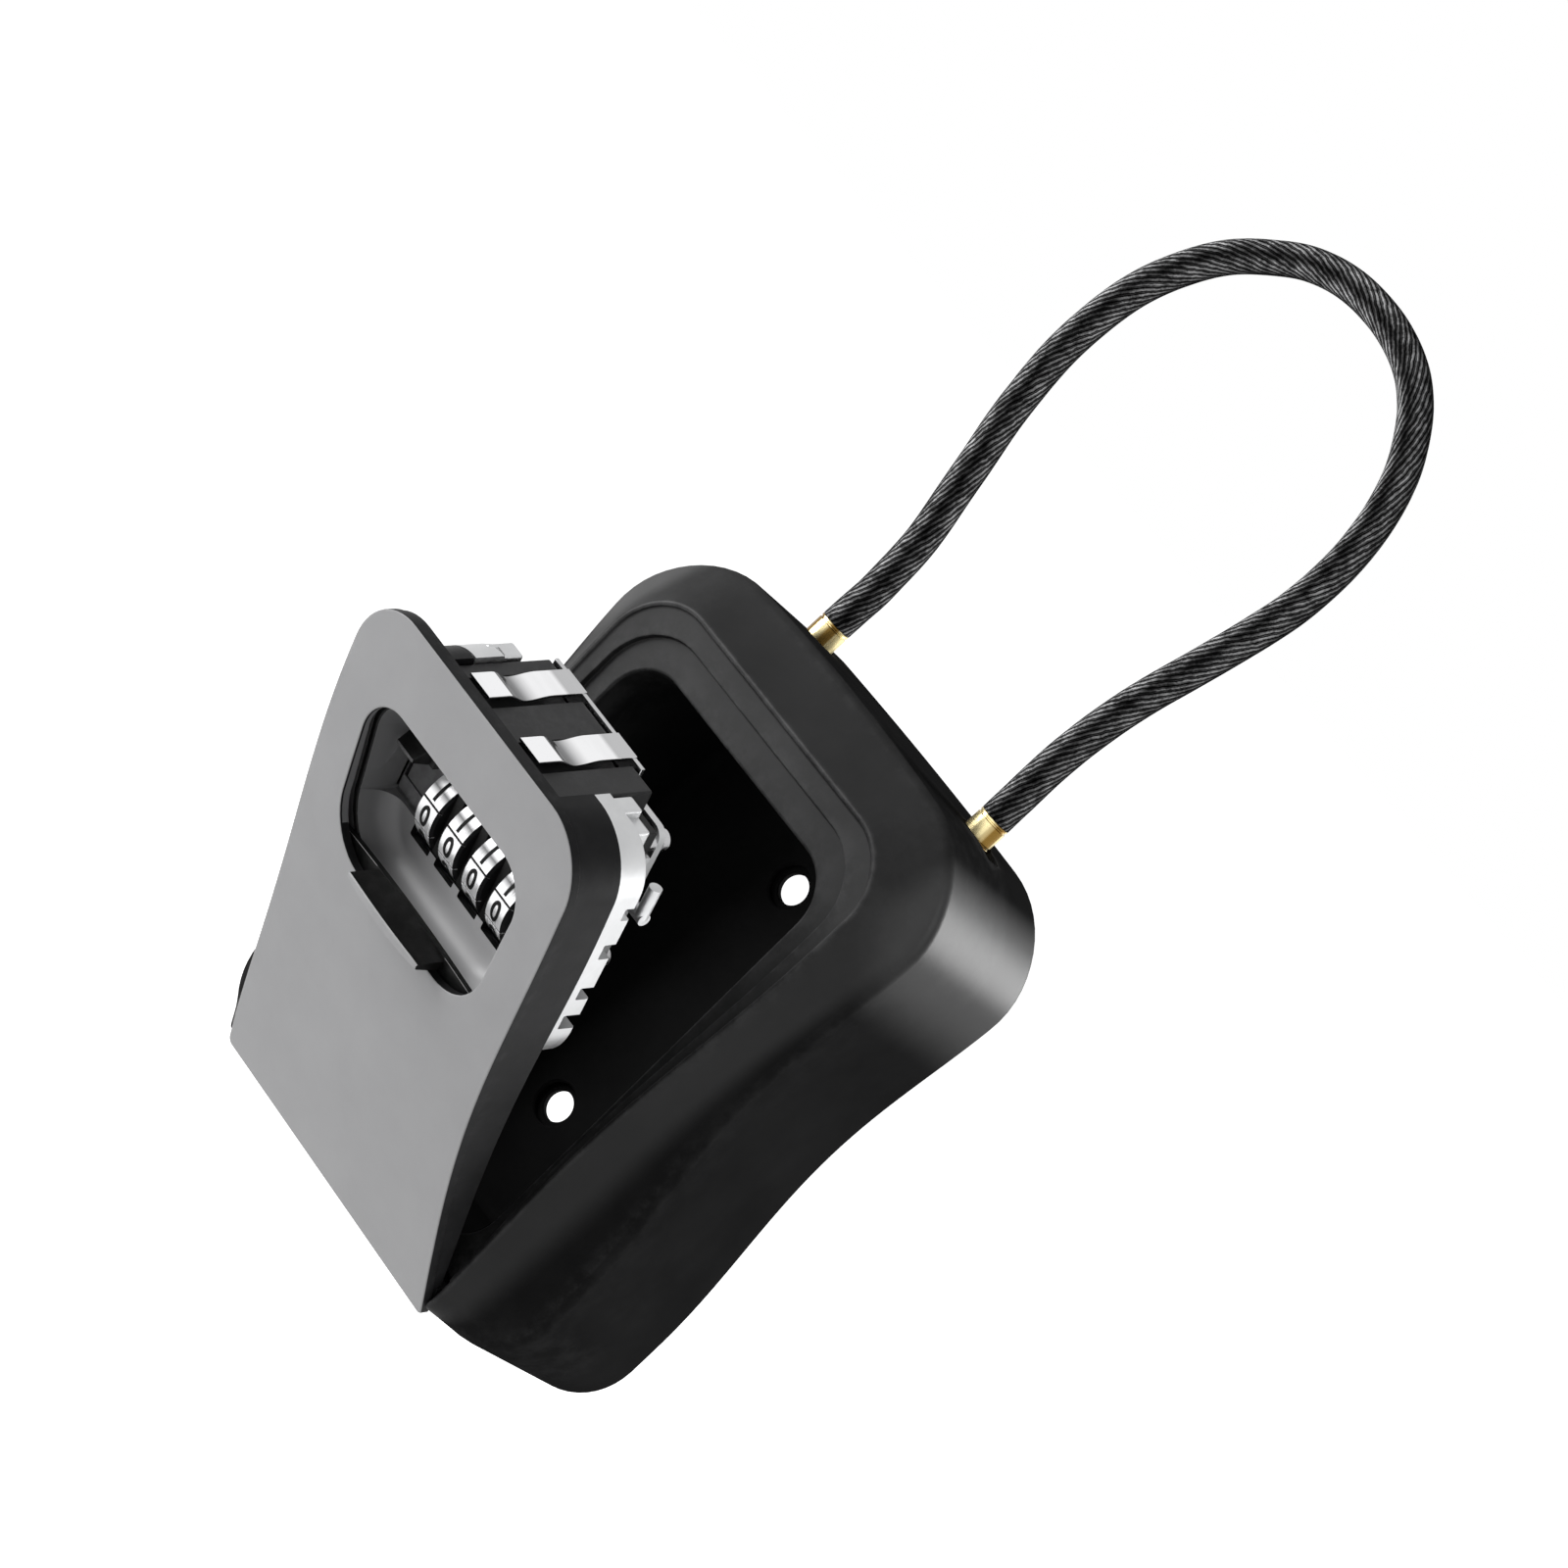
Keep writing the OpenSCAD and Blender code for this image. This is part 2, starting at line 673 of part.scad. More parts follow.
module lock_body() color([0.06, 0.06, 0.06])
    on_open_door() difference() {
        union() {
            block(lock_left, lock_right, lock_back_n, lock_front_n, lock_foot, head_foot);
            block(head_left, head_right, lock_back_n, lock_front_n + 3.6, head_foot, lock_top);
        }
        for (i = [0:dial_count - 1])
            bar_x(
                dial_x(i) - dial_w / 2 - slip, dial_x(i) + dial_w / 2 + slip,
                spindle_n, spindle_z, dial_r + 0.4
            );
        bar_x(-spindle_half - fit, spindle_half + fit, spindle_n, spindle_z, spindle_r + fit);
        // Bay for the detent spring behind the dials
        block(
            -dial_half + 1.3, dial_half - 1.3, spindle_n - dial_r - 1.1, spindle_n - dial_r + 0.2,
            spindle_z - 10, spindle_z + 6.6
        );
        // Bay for the foot and arm of the opening slide
        block(
            open_x - 5.1, open_x + 3.3, lock_front_n - 3.2, lock_front_n + over,
            lock_foot + 2.4, open_z + 5.2
        );
        block(
            open_x - 4.8, open_x + 0.8, lock_back_n - over, lock_front_n,
            open_z - open_travel + 1.4, open_z + 5.2
        );
        tongue_channels();
        for (p = cover_screws) bar_n(p.x, p.y, lock_back_n - over, lock_back_n + 6, 1 + fit);
    }

spindle_half = dial_half + 0.6;
cover_screws = [
    [lock_left + 3, lock_foot + 3.5], [lock_right - 2.1, lock_foot + 3.5],
    [lock_left + 2.5, upper_screw_z], [lock_right - 2.1, upper_screw_z]
];

// The outer edge of the tray that holds the lock, inside the key cavity when closed
module tray_shape(inset) {
    round_rect(
        -cavity_hw + 0.6 + inset, cavity_hw - 0.6 - inset,
        tray_foot + inset, cavity_top - 0.8 - inset, cavity_r - inset
    );
}

// The pale metal tray round the lock body, with a flange inside the door shell
module lock_frame() color([0.72, 0.72, 0.72])
    on_open_door() difference() {
        union() {
            intersection() {
                difference() {
                    slab(tray_back_n, face_top_n) tray_shape(0);
                    slab(tray_back_n + 1.6, face_top_n + over) tray_shape(1.8);
                    block(
                        -cavity_hw, cavity_hw, tray_front_n, 2 * case_d,
                        cavity_top - cavity_r - 1.3, cavity_top
                    );
                }
                behind_seat(door_gap + 1.2);
            }
            difference() {
                intersection() {
                    slab(tray_back_n, face_top_n) polygon(door_outline(0.3 + shell_t + slip));
                    block(-door_hw, door_hw, 0, 2 * case_d, tray_foot - 1.5, cavity_top - cavity_r - 1.3);
                    behind_seat(door_gap + 1.2);
                }
                behind_seat(door_gap);
                slab(tray_back_n, face_top_n) tray_shape(1.8);
            }
            // Raised corners beside the head of the lock
            for (x = [head_left - 4.4, head_right + 0.6])
                block(x, x + 3.8, tray_back_n - 4.5, tray_back_n + 1.6, head_foot - 4, cavity_top - 1.4);
            block(
                head_right + 0.6, head_right + 8, tray_back_n - 4.5, tray_back_n + 1.6,
                head_foot - 4, cavity_top - 3
            );
        }
        slab(dish_floor_n - dish_floor_t - slip, face_top_n) window_shape(0.8 + slip);
        // Room for the lock body and its head
        block(lock_left - slip, lock_right + slip, 0, 2 * case_d, lock_foot - slip, head_foot + slip);
        block(head_left - slip, head_right + slip, 0, 2 * case_d, lock_foot, door_top + 5);
        rivet_holes();
    }

// Height of a tongue's middle line: a flat pad behind the door's lip, a dip, and a crest
pad_n = lock_front_n - 1;
dip_n = lock_front_n - 5.2;
crest_n = lock_front_n - 10.8;
function ease(t) = 0.5 - 0.5 * cos(180 * max(0, min(1, t)));
function tongue_z(n) =
    lock_top + 0.7 - 1.6 * ease((pad_n - n) / (pad_n - dip_n)) + 1.3 * ease((dip_n - n) / (dip_n - crest_n));

module latch_plate() color([0.85, 0.85, 0.86])
    on_open_door() {
        difference() {
            block(latch_left, latch_right, latch_n, latch_n + latch_t, spindle_z + 7.5, tongue_z(latch_n));
            block(
            latch_mid - 2.5, latch_mid + 2.5, latch_n - over, latch_n + latch_t + over,
            upper_screw_z - 4.5, lock_top + 3
        );
        }
        steps = 20;
        front = lock_front_n + 3.1;
        for (x = tongue_x)
            translate([x - tongue_w / 2, 0, 0]) rotate([90, 0, 90]) linear_extrude(tongue_w) polygon(concat(
                [for (i = [0:steps]) let (n = latch_n + (front - latch_n) * i / steps)
                    [-n, tongue_z(n) + tongue_t / 2]],
                [for (i = [steps:-1:0]) let (n = latch_n + (front - latch_n) * i / steps)
                    [-n, tongue_z(n) - tongue_t / 2]]
            ));
    }

module lock_cover() color([0.7, 0.7, 0.7])
    on_open_door() difference() {
        slab(cover_n, cover_n + cover_t) difference() {
            round_rect(lock_left + 0.4, lock_right - 0.4, lock_foot + 0.4, upper_screw_z + 3, 2.5);
            translate([latch_mid - 4.5, upper_screw_z - 3.5]) square([9, 10]);
        }
        for (p = cover_screws) bar_n(p.x, p.y, cover_n - over, cover_n + cover_t + over, 1.2);
        bar_n(reset_x, reset_z, cover_n - over, cover_n + cover_t + over, 1.5 + fit);
    }

latch_mid = (latch_left + latch_right) / 2;
reset_x = dial_half - 9.8;
reset_z = lock_foot + 9;

// Spacers under the cover clear the latch plate, and the screws clamp cover and spacers
module lock_cover_screws() color("silver")
    on_open_door() for (p = cover_screws) {
        bar_n(p.x, p.y, cover_n - 1.1, lock_back_n + 5, 1);
        difference() {
            bar_n(p.x, p.y, cover_n - 1.3, cover_n, 1.9);
            block(p.x - 1.5, p.x + 1.5, cover_n - 3, cover_n - 0.8, p.y - 0.25, p.y + 0.25);
        }
        bar_n(p.x, p.y, cover_n + cover_t, lock_back_n, 1.7);
    }

module detent_spring() color("silver")
    on_open_door() {
        n1 = spindle_n - dial_r - 0.35;
        block(-dial_half + 1.6, dial_half - 1.6, n1 - 0.4, n1, spindle_z - 9.8, spindle_z - 6.2);
        for (i = [0:dial_count - 1])
            block(dial_x(i) - 1.9, dial_x(i) + 1.9, n1 - 0.4, n1, spindle_z - 6.2, spindle_z + 6);
    }

module spindle() color("silver")
    on_open_door() bar_x(-spindle_half, spindle_half, spindle_n, spindle_z, spindle_r);

// A dial has ten flats, one for each numeral, and a step at its right-hand side
module dial(i) color([0.8, 0.8, 0.8])
    on_open_door() difference() {
        translate([dial_x(i) - dial_w / 2, -spindle_n, spindle_z]) rotate([0, 90, 0]) {
            cylinder(r = dial_r, h = dial_w - 1);
            cylinder(r = dial_r - 0.8, h = dial_w);
        }
        bar_x(dial_x(i) - dial_w, dial_x(i) + dial_w, spindle_n, spindle_z, dial_bore_r);
        // Grooves between the numerals
        for (k = [0:9])
            translate([dial_x(i) - dial_w / 2 - over, -spindle_n, spindle_z])
                rotate([36 * k + 18, 0, 0])
                    translate([0, -dial_r - over, -0.25]) cube([dial_w + 2 * over, over + 0.35, 0.5]);
    }

module code_wheel(i) color("goldenrod")
    on_open_door() difference() {
        bar_x(dial_x(i) - dial_w / 2, dial_x(i) + dial_w / 2, spindle_n, spindle_z, dial_bore_r - fit);
        bar_x(dial_x(i) - dial_w, dial_x(i) + dial_w, spindle_n, spindle_z, spindle_r + fit);
        // The notch that frees the latch at one numeral
        block(
            dial_x(i) - dial_w, dial_x(i) + dial_w, spindle_n - 1, spindle_n + 1,
            spindle_z - dial_bore_r - over, spindle_z - dial_bore_r + 1.8
        );
    }

module dial_1() dial(0);
module dial_2() dial(1);
module dial_3() dial(2);
module dial_4() dial(3);
module code_wheel_1() code_wheel(0);
module code_wheel_2() code_wheel(1);
module code_wheel_3() code_wheel(2);
module code_wheel_4() code_wheel(3);

module key_hook() color("silver")
    on_open_door() {
        n = lock_back_n + 3;
        z = spindle_z + 9.1;
        block(lock_right, lock_right + 1.2, lock_back_n + 0.4, lock_back_n + 4.6, z - 2.6, z + 7);
        bar_x(lock_right + 1.2, lock_right + 8.4, n, z, 1.2);
        bar_z(lock_right + 7.4, n, z, z + 6.4, 1.2);
    }

module reset_lever() color([0.75, 0.75, 0.75])
    on_open_door() {
        bar_n(reset_x, reset_z, cover_n - 1.8, cover_n - slip, 3);
        bar_n(reset_x, reset_z, cover_n - slip, cover_n + cover_t + 0.2, 1.5);
        block(reset_x, reset_x + 8, cover_n - 1.6, cover_n - slip, reset_z - 1.4, reset_z + 1.4);
        block(reset_x + 6.4, reset_x + 8, cover_n - 3.6, cover_n - slip, reset_z - 1.4, reset_z + 1.4);
    }

case_shell();
hinge_pin();
release_cover();
release_cover_screws();
release_slide();
cable();
ferrule_left();
ferrule_right();
door_face();
door_shell();
door_pins();
dial_dish();
dial_shutter();
opening_slide();
lock_body();
lock_frame();
latch_plate();
lock_cover();
lock_cover_screws();
detent_spring();
spindle();
dial_1();
dial_2();
dial_3();
dial_4();
code_wheel_1();
code_wheel_2();
code_wheel_3();
code_wheel_4();
key_hook();
reset_lever();
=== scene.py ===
import math
import bmesh
import bpy
from mathutils import Matrix, Vector


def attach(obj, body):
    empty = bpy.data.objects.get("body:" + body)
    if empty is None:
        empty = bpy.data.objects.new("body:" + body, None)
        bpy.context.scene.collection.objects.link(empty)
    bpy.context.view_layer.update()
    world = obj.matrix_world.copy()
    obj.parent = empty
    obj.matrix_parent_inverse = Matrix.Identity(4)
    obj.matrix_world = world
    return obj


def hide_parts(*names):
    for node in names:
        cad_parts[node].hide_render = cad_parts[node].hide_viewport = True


# The looks of a portable key safe: a waisted metal case, a bottom-hinged code door that
# stands open, and a shackle of coated cable. Sizes here are in millimetres, as in the frame:
# x to the right, z up, and n the distance in front of the flat back.

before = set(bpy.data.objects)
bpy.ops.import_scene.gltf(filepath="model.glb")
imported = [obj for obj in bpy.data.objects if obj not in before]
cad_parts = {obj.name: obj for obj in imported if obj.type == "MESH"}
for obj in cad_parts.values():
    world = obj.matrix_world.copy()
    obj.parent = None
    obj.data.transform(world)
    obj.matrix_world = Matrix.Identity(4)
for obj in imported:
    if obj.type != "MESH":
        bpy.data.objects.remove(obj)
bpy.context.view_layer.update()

MM = 0.001
HALF_W, FOOT_FLARE, HALF_H, RIM_N = 48.0, 1.7, 60.0, 45
SHOULDER_R, FOOT_R, WAIST = 20.0, 14.0, 4.0
BEVEL_W = 9.6
SIDE_ARCH, FRONT_ARCH = 1.1, 1.6
DOOR_HW, DOOR_TOP, DOOR_FOOT, DOOR_R = 34.3, 46.2, -60.3, 12.0
CAVITY_HW, CAVITY_TOP, CAVITY_FOOT, CAVITY_R = 30.4, 40.4, -50.0, 9.0
BACK_WALL = 3.0
FACE_T, DOOR_GAP = 1.8, 0.35
FACE_R, FACE_CROWN_N, FACE_CROWN_Z = 470, 53.5, 56
BARREL_R, BARREL_BORE = 2.4, 1.35
OPEN_ANGLE = 31.3
WINDOW_W, WINDOW_H, WINDOW_Z = 49.0, 31.6, -0.6
DIAL_PITCH, DIAL_R, SPINDLE_Z = 7.9, 9.0, 13.5
DIAL_X = [(k - 1.5) * DIAL_PITCH for k in range(4)]
DIAL_SLOT_HW = 2.95
LEG_X, LEG_N, CABLE_R = 25.75, 15.0, 3.15
SCREW_Z = 28.5
SLIP = 0.3
FAR = 90


def rim_n(z):
    """Depth of the front rim at height z."""
    return RIM_N - 0.05 * (HALF_H - z)


def seat_n(z):
    """Depth of the seat that the door closes into."""
    return RIM_N - 1.5 - (0.05 + 1.6 / 120) * (HALF_H - z)


def face_n(z):
    """Depth of the curved door face."""
    return FACE_CROWN_N - FACE_R + math.sqrt(FACE_R ** 2 - (z - FACE_CROWN_Z) ** 2)


HINGE_Z = -HALF_H + 2.8
HINGE_N = face_n(HINGE_Z) - FACE_T - BARREL_R - 0.4
FLOOR_N = rim_n(SPINDLE_Z) - 1.8
SPINDLE_N = FLOOR_N + 1.8 - DIAL_R
LOCK_FRONT = FLOOR_N - 1.2 - SLIP
LOCK_BACK = SPINDLE_N - DIAL_R - 2
LOCK_TOP = CAVITY_TOP - 1.7
LOCK_LEFT, LOCK_RIGHT, LOCK_FOOT = -24.5, 18.5, 1.0
HEAD_LEFT, HEAD_RIGHT, HEAD_FOOT = -20.5, 13.5, LOCK_TOP - 4.7
LATCH_N = LOCK_BACK - SLIP - 0.9
TONGUE_X = (HEAD_LEFT + 6.8, HEAD_RIGHT - 10.9)
TRAY_BACK, TRAY_FRONT = LOCK_FRONT - 7, LOCK_FRONT - 0.8
LIP_FOOT = CAVITY_TOP - 1.8
OPEN_X, OPEN_Z, OPEN_H = -18.1, 20.2, 4.2
POCKET_LOW, POCKET_HIGH = WINDOW_Z - WINDOW_H + 1.2, WINDOW_Z + WINDOW_H
POCKET_N = face_n(POCKET_LOW) - 0.9
POCKET_RISE = (face_n(POCKET_HIGH) - face_n(POCKET_LOW)) / (POCKET_HIGH - POCKET_LOW)
POCKET_TILT = math.atan(POCKET_RISE)


def pocket_n(z):
    """Depth of the front of the flat pocket that the weather cover slides in."""
    return POCKET_N + (z - POCKET_LOW) * POCKET_RISE


# ---------------------------------------------------------------- camera

FOCAL_PX, FRAME_PX, SENSOR = 6200, 1600, 36.0


def linked(name, data):
    """A new object in the scene."""
    obj = bpy.data.objects.new(name, data)
    bpy.context.scene.collection.objects.link(obj)
    return obj


def place_camera():
    data = bpy.data.cameras.new("camera")
    data.sensor_width, data.lens = SENSOR, FOCAL_PX / FRAME_PX * SENSOR
    data.clip_start, data.clip_end = 0.05, 60.0
    camera = linked("camera", data)
    right = Vector((0.5232, 0.4408, 0.7293)).normalized()
    back = Vector((0.5398, -0.8337, 0.1167))
    back = (back - right * back.dot(right)).normalized()
    up = back.cross(right)
    place = Matrix((right, up, back)).transposed().to_4x4()
    place.translation = Vector((563.3, -898.6, 164.3)) * MM
    camera.matrix_world = place
    bpy.context.scene.camera = camera


place_camera()

# ---------------------------------------------------------------- shapes


def draw_in(z, mid, reach):
    """How far a side is drawn in at its waist, from 0 to 1."""
    return math.cos(math.pi / 2 * (z - mid) / reach) ** 2 if abs(z - mid) < reach else 0.0


def outline(top_hw, foot_hw, top, foot, top_r, low_r, waist=0, mid=0, reach=1, arch=0):
    """A closed waisted outline of x, z points, with the same count at every size."""
    z0, z1 = foot + low_r, top - top_r

    def side(z):
        return foot_hw + (top_hw - foot_hw) * min(max((z - z0) / (z1 - z0), 0), 1)

    right = [((foot_hw - low_r) * k / 8, foot) for k in range(8)]
    for k in range(13):
        a = math.radians(90 * k / 12 - 90)
        right.append((foot_hw - low_r + low_r * math.cos(a), z0 + low_r * math.sin(a)))
    right += [(side(z0 + (z1 - z0) * k / 34), z0 + (z1 - z0) * k / 34) for k in range(1, 34)]
    for k in range(15):
        a = math.radians(90 * k / 14)
        right.append((top_hw - top_r + top_r * math.cos(a), z1 + top_r * math.sin(a)))
    right += [((top_hw - top_r) * (1 - k / 10), top) for k in range(1, 11)]
    bent = []
    for x, z in right:
        x *= 1 - waist * draw_in(z, mid, reach) / side(z)
        if arch and z > 0:
            z += arch * (z / top) ** 2 * (1 - (x / top_hw) ** 2)
        bent.append((x, z))
    return bent + [(-x, z) for x, z in reversed(bent[1:-1])]


def case_outline(inset, foot_inset=None, n=0):
    """The outline of the case, whose top is arched a little more towards the front."""
    foot_inset = inset if foot_inset is None else foot_inset
    return outline(HALF_W - inset, HALF_W + FOOT_FLARE - inset, HALF_H - inset,
                   -HALF_H + foot_inset, SHOULDER_R - inset, FOOT_R - inset,
                   WAIST, 5, 45, SIDE_ARCH + min(n, 34) / 34 * FRONT_ARCH)


def bevel_outline(inset):
    return outline(HALF_W - BEVEL_W - inset, HALF_W - BEVEL_W - 2.6 - inset,
                   HALF_H - BEVEL_W + 1 - inset, -HALF_H + 0.05 + inset * 0.2, 12.8 - inset, 3,
                   2.3, -20, 50)


def door_outline(inset, foot=DOOR_FOOT):
    return outline(DOOR_HW - inset, DOOR_HW + 0.2 - inset, DOOR_TOP - inset, foot + max(inset, 0),
                   DOOR_R - inset, 1.2, 2.3, -20, 50)


def cavity_outline(inset):
    return outline(CAVITY_HW - inset, CAVITY_HW - inset, CAVITY_TOP - inset, CAVITY_FOOT + inset,
                   CAVITY_R - inset, CAVITY_R - inset)


def window_outline(grow=0.0):
    return outline(WINDOW_W / 2 + grow, WINDOW_W / 2 - 1 + grow, WINDOW_Z + WINDOW_H + grow,
                   WINDOW_Z - grow, 8 + grow, 11 + grow)


def mixed(a, b, t):
    """Points part of the way from one outline to another."""
    return [tuple(p + (q - p) * t for p, q in zip(u, v)) for u, v in zip(a, b)]


def ring(points, depth, drop=0.0):
    """An outline at a depth, which may be a function of the height, or that much behind it."""
    return [(x, (depth(z) if callable(depth) else depth) - drop, z) for x, z in points]


def skin(rings, closed=False):
    """Vertices and faces of a skin over rings: a shape with two ends, or a closed hoop."""
    count, verts, faces = len(rings[0]), [p for r in rings for p in r], []
    for k in range(len(rings) if closed else len(rings) - 1):
        a, b = k * count, (k + 1) % len(rings) * count
        for i in range(count):
            j = (i + 1) % count
            faces.append((a + i, a + j, b + j, b + i))
    if not closed:
        faces += [tuple(range(count))[::-1], tuple(range(len(verts) - count, len(verts)))]
    return verts, faces


SWING = (Matrix.Translation((0, -HINGE_N * MM, HINGE_Z * MM))
         @ Matrix.Rotation(math.radians(OPEN_ANGLE), 4, "X")
         @ Matrix.Translation((0, HINGE_N * MM, -HINGE_Z * MM)))


def written(work, mesh):
    """Puts an edited mesh back."""
    work.to_mesh(mesh)
    work.free()
    return mesh


def solid(verts, faces):
    """A mesh from millimetre points, with its faces turned outwards."""
    mesh = bpy.data.meshes.new("solid")
    mesh.from_pydata([(x * MM, -n * MM, z * MM) for x, n, z in verts], [], faces)
    work = bmesh.new()
    work.from_mesh(mesh)
    bmesh.ops.recalc_face_normals(work, faces=work.faces)
    return written(work, mesh)


def block(x0, x1, n0, n1, z0, z1, r=0.25, steps=2):
    """A box with rounded edges."""
    work = bmesh.new()
    bmesh.ops.create_cube(work, size=1)
    for v in work.verts:
        v.co = Vector(((x0 + x1) / 2 + v.co.x * (x1 - x0), -(n0 + n1) / 2 + v.co.y * (n1 - n0),
                       (z0 + z1) / 2 + v.co.z * (z1 - z0))) * MM
    if r:
        bmesh.ops.bevel(work, geom=list(work.edges), offset=r * MM, segments=steps, profile=0.5,
                        affect="EDGES")
    return written(work, bpy.data.meshes.new("block"))


def slab(points, n0, n1, r=0.25, steps=2):
    """A flat shape of x, z points from one depth to another, with rounded edges."""
    turns = [math.pi / 2 * k / steps for k in range(steps + 1)]
    arc = [(r * (1 - math.sin(a)), r * (1 - math.cos(a))) for a in turns]
    path = [(inset, n0 + rise) for inset, rise in arc]
    path += [(inset, n1 - rise) for inset, rise in arc[::-1]]
    return solid(*skin([ring(shrunk(points, inset), n) for inset, n in path]))


def shrunk(points, inset):
    """A closed outline moved inwards along its corners."""
    if not inset:
        return list(points)
    area = sum(a[0] * b[1] - b[0] * a[1] for a, b in zip(points, points[1:] + points[:1]))
    side = 1 if area > 0 else -1
    out = []
    for k, p in enumerate(points):
        a, b = points[k - 1], points[(k + 1) % len(points)]
        u = Vector((p[0] - a[0], p[1] - a[1])).normalized()
        w = Vector((b[0] - p[0], b[1] - p[1])).normalized()
        m = Vector((-u.y - w.y, u.x + w.x)) * side
        scale = max(m.length_squared / 2, 0.3)
        out.append((p[0] + m.x * inset / scale, p[1] + m.y * inset / scale))
    return out


def round_rect(x0, x1, z0, z1, r, steps=6):
    """An outline of a rectangle with round corners."""
    points = []
    for cx, cz, start in ((x1 - r, z0 + r, -90), (x1 - r, z1 - r, 0), (x0 + r, z1 - r, 90),
                          (x0 + r, z0 + r, 180)):
        for k in range(steps + 1):
            a = math.radians(start + 90 * k / steps)
            points.append((cx + r * math.cos(a), cz + r * math.sin(a)))
    return points


def turned(profile, centre, along, steps=64):
    """A turned piece: profile holds radius and length from the centre, along "x", "z" or "n"."""
    x, n, z = centre
    rings = []
    for r, h in profile:
        rings.append([])
        for k in range(steps):
            a, r = 2 * math.pi * k / steps, max(r, 0.01)
            c, s = r * math.cos(a), r * math.sin(a)
            rings[-1].append({"x": (x + h, n + c, z + s), "z": (x + c, n + s, z + h),
                              "n": (x + c, n + h, z + s)}[along])
    return solid(*skin(rings))


def cut_out(mesh, cutters, operation="DIFFERENCE"):
    """The mesh less the cutters, or joined with them."""
    body = linked("body", mesh)
    tools = [linked(f"tool_{k}", cutter) for k, cutter in enumerate(cutters)]
    for tool in tools:
        change = body.modifiers.new("cut", "BOOLEAN")
        change.operation, change.solver, change.object = operation, "EXACT", tool
    done = as_mesh(body)
    for tool in tools:
        bpy.data.objects.remove(tool)
    return done


def as_mesh(obj):
    """The final mesh of a working object, which is then removed."""
    bpy.context.view_layer.update()
    graph = bpy.context.evaluated_depsgraph_get()
    done = bpy.data.meshes.new_from_object(obj.evaluated_get(graph))
    bpy.data.objects.remove(obj)
    return done


def gathered(meshes):
    """Several separate shells as one mesh."""
    work = bmesh.new()
    for mesh in meshes:
        work.from_mesh(mesh)
    return written(work, bpy.data.meshes.new("gathered"))


def spots(mesh):
    """Each face of a mesh with the x, n and z of its middle in millimetres."""
    for face in mesh.polygons:
        x, y, z = (v / MM for v in face.center)
        yield face, x, -y, z


def piece(name, mesh, body, finish, stands_for=(), on_door=False, sharp=32):
    """Puts a mesh in the scene as one piece of the safe."""
    if on_door:
        mesh.transform(SWING)
    mesh.name = name
    mark_edges(mesh, sharp)
    obj = linked(name, mesh)
    level = obj.modifiers.new("even_shading", "WEIGHTED_NORMAL")
    level.keep_sharp, level.weight = True, 60
    kinds = [face.material_index for face in mesh.polygons]
    mesh.materials.clear()
    for one in finish if isinstance(finish, (list, tuple)) else [finish]:
        mesh.materials.append(one)
    if len(mesh.materials) > 1:
        mesh.polygons.foreach_set("material_index", kinds)
    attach(obj, body)
    if stands_for:
        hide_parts(*stands_for)
    return obj


FULL_TURN = 0.7    # in radians: a corner that turns this far has the value 1


def mark_edges(mesh, sharp):
    """Smooth shading, sharp edges by angle, and a 0 to 1 "edge" value where corners turn."""
    work = bmesh.new()
    work.from_mesh(mesh)
    limit = math.radians(sharp)
    turn = [0.0] * len(work.verts)
    for face in work.faces:
        face.smooth = True
    for edge in work.edges:
        angle = edge.calc_face_angle_signed(0) if len(edge.link_faces) == 2 else 0
        edge.smooth = abs(angle) < limit
        if angle > 0:
            for v in edge.verts:
                turn[v.index] = max(turn[v.index], min(angle / FULL_TURN, 1))
    written(work, mesh)
    kept = mesh.attributes.get("edge") or mesh.attributes.new("edge", "FLOAT", "POINT")
    kept.data.foreach_set("value", turn)


# ---------------------------------------------------------------- finishes

class Value:
    """A number on a node socket, with ordinary arithmetic."""

    def __init__(self, finish, socket):
        self.finish, self.socket = finish, socket

    def _with(self, operation, other, flip=False):
        pair = (other, self) if flip else (self, other)
        return self.finish.math(operation, *pair)

    def __add__(self, other):
        return self._with("ADD", other)

    __radd__ = __add__

    def __sub__(self, other):
        return self._with("SUBTRACT", other)

    def __rsub__(self, other):
        return self._with("SUBTRACT", other, True)

    def __mul__(self, other):
        return self._with("MULTIPLY", other)

    __rmul__ = __mul__

    def __truediv__(self, other):
        return self._with("DIVIDE", other)

    def __pow__(self, other):
        return self._with("POWER", other)


class Nodes:
    """The nodes of a material or of the world."""

    def __init__(self, owner):
        owner.use_nodes = True
        self.tree = owner.node_tree
        self.tree.nodes.clear()

    def set(self, node, key, value):
        socket = node.inputs[key]
        if isinstance(value, Value):
            self.tree.links.new(value.socket, socket)
        elif isinstance(value, bpy.types.NodeSocket):
            self.tree.links.new(value, socket)
        elif isinstance(value, (tuple, list)) and len(value) == 3 and socket.type == "RGBA":
            socket.default_value = (*value, 1)
        else:
            socket.default_value = value

    def node(self, kind, settings=None, inputs=None, output=0):
        """One node: its settings first, then its sockets. Gives the named output."""
        made = self.tree.nodes.new("ShaderNode" + kind)
        for key, value in (settings or {}).items():
            if key == "stops":
                ramp = made.color_ramp
                while len(ramp.elements) < len(value):
                    ramp.elements.new(0.5)
                for element, (place, level) in zip(ramp.elements, value):
                    element.position, element.color = place, (level, level, level, 1)
            else:
                setattr(made, key, value)
        for key, value in (inputs or {}).items():
            self.set(made, key, value)
        return Value(self, made.outputs[output]) if made.outputs else None

    def math(self, operation, *values):
        return self.node("Math", {"operation": operation}, dict(enumerate(values)))

    def split(self, kind, inputs):
        """Every output of a node."""
        made = self.node(kind, None, inputs).socket.node
        return [Value(self, output) for output in made.outputs]


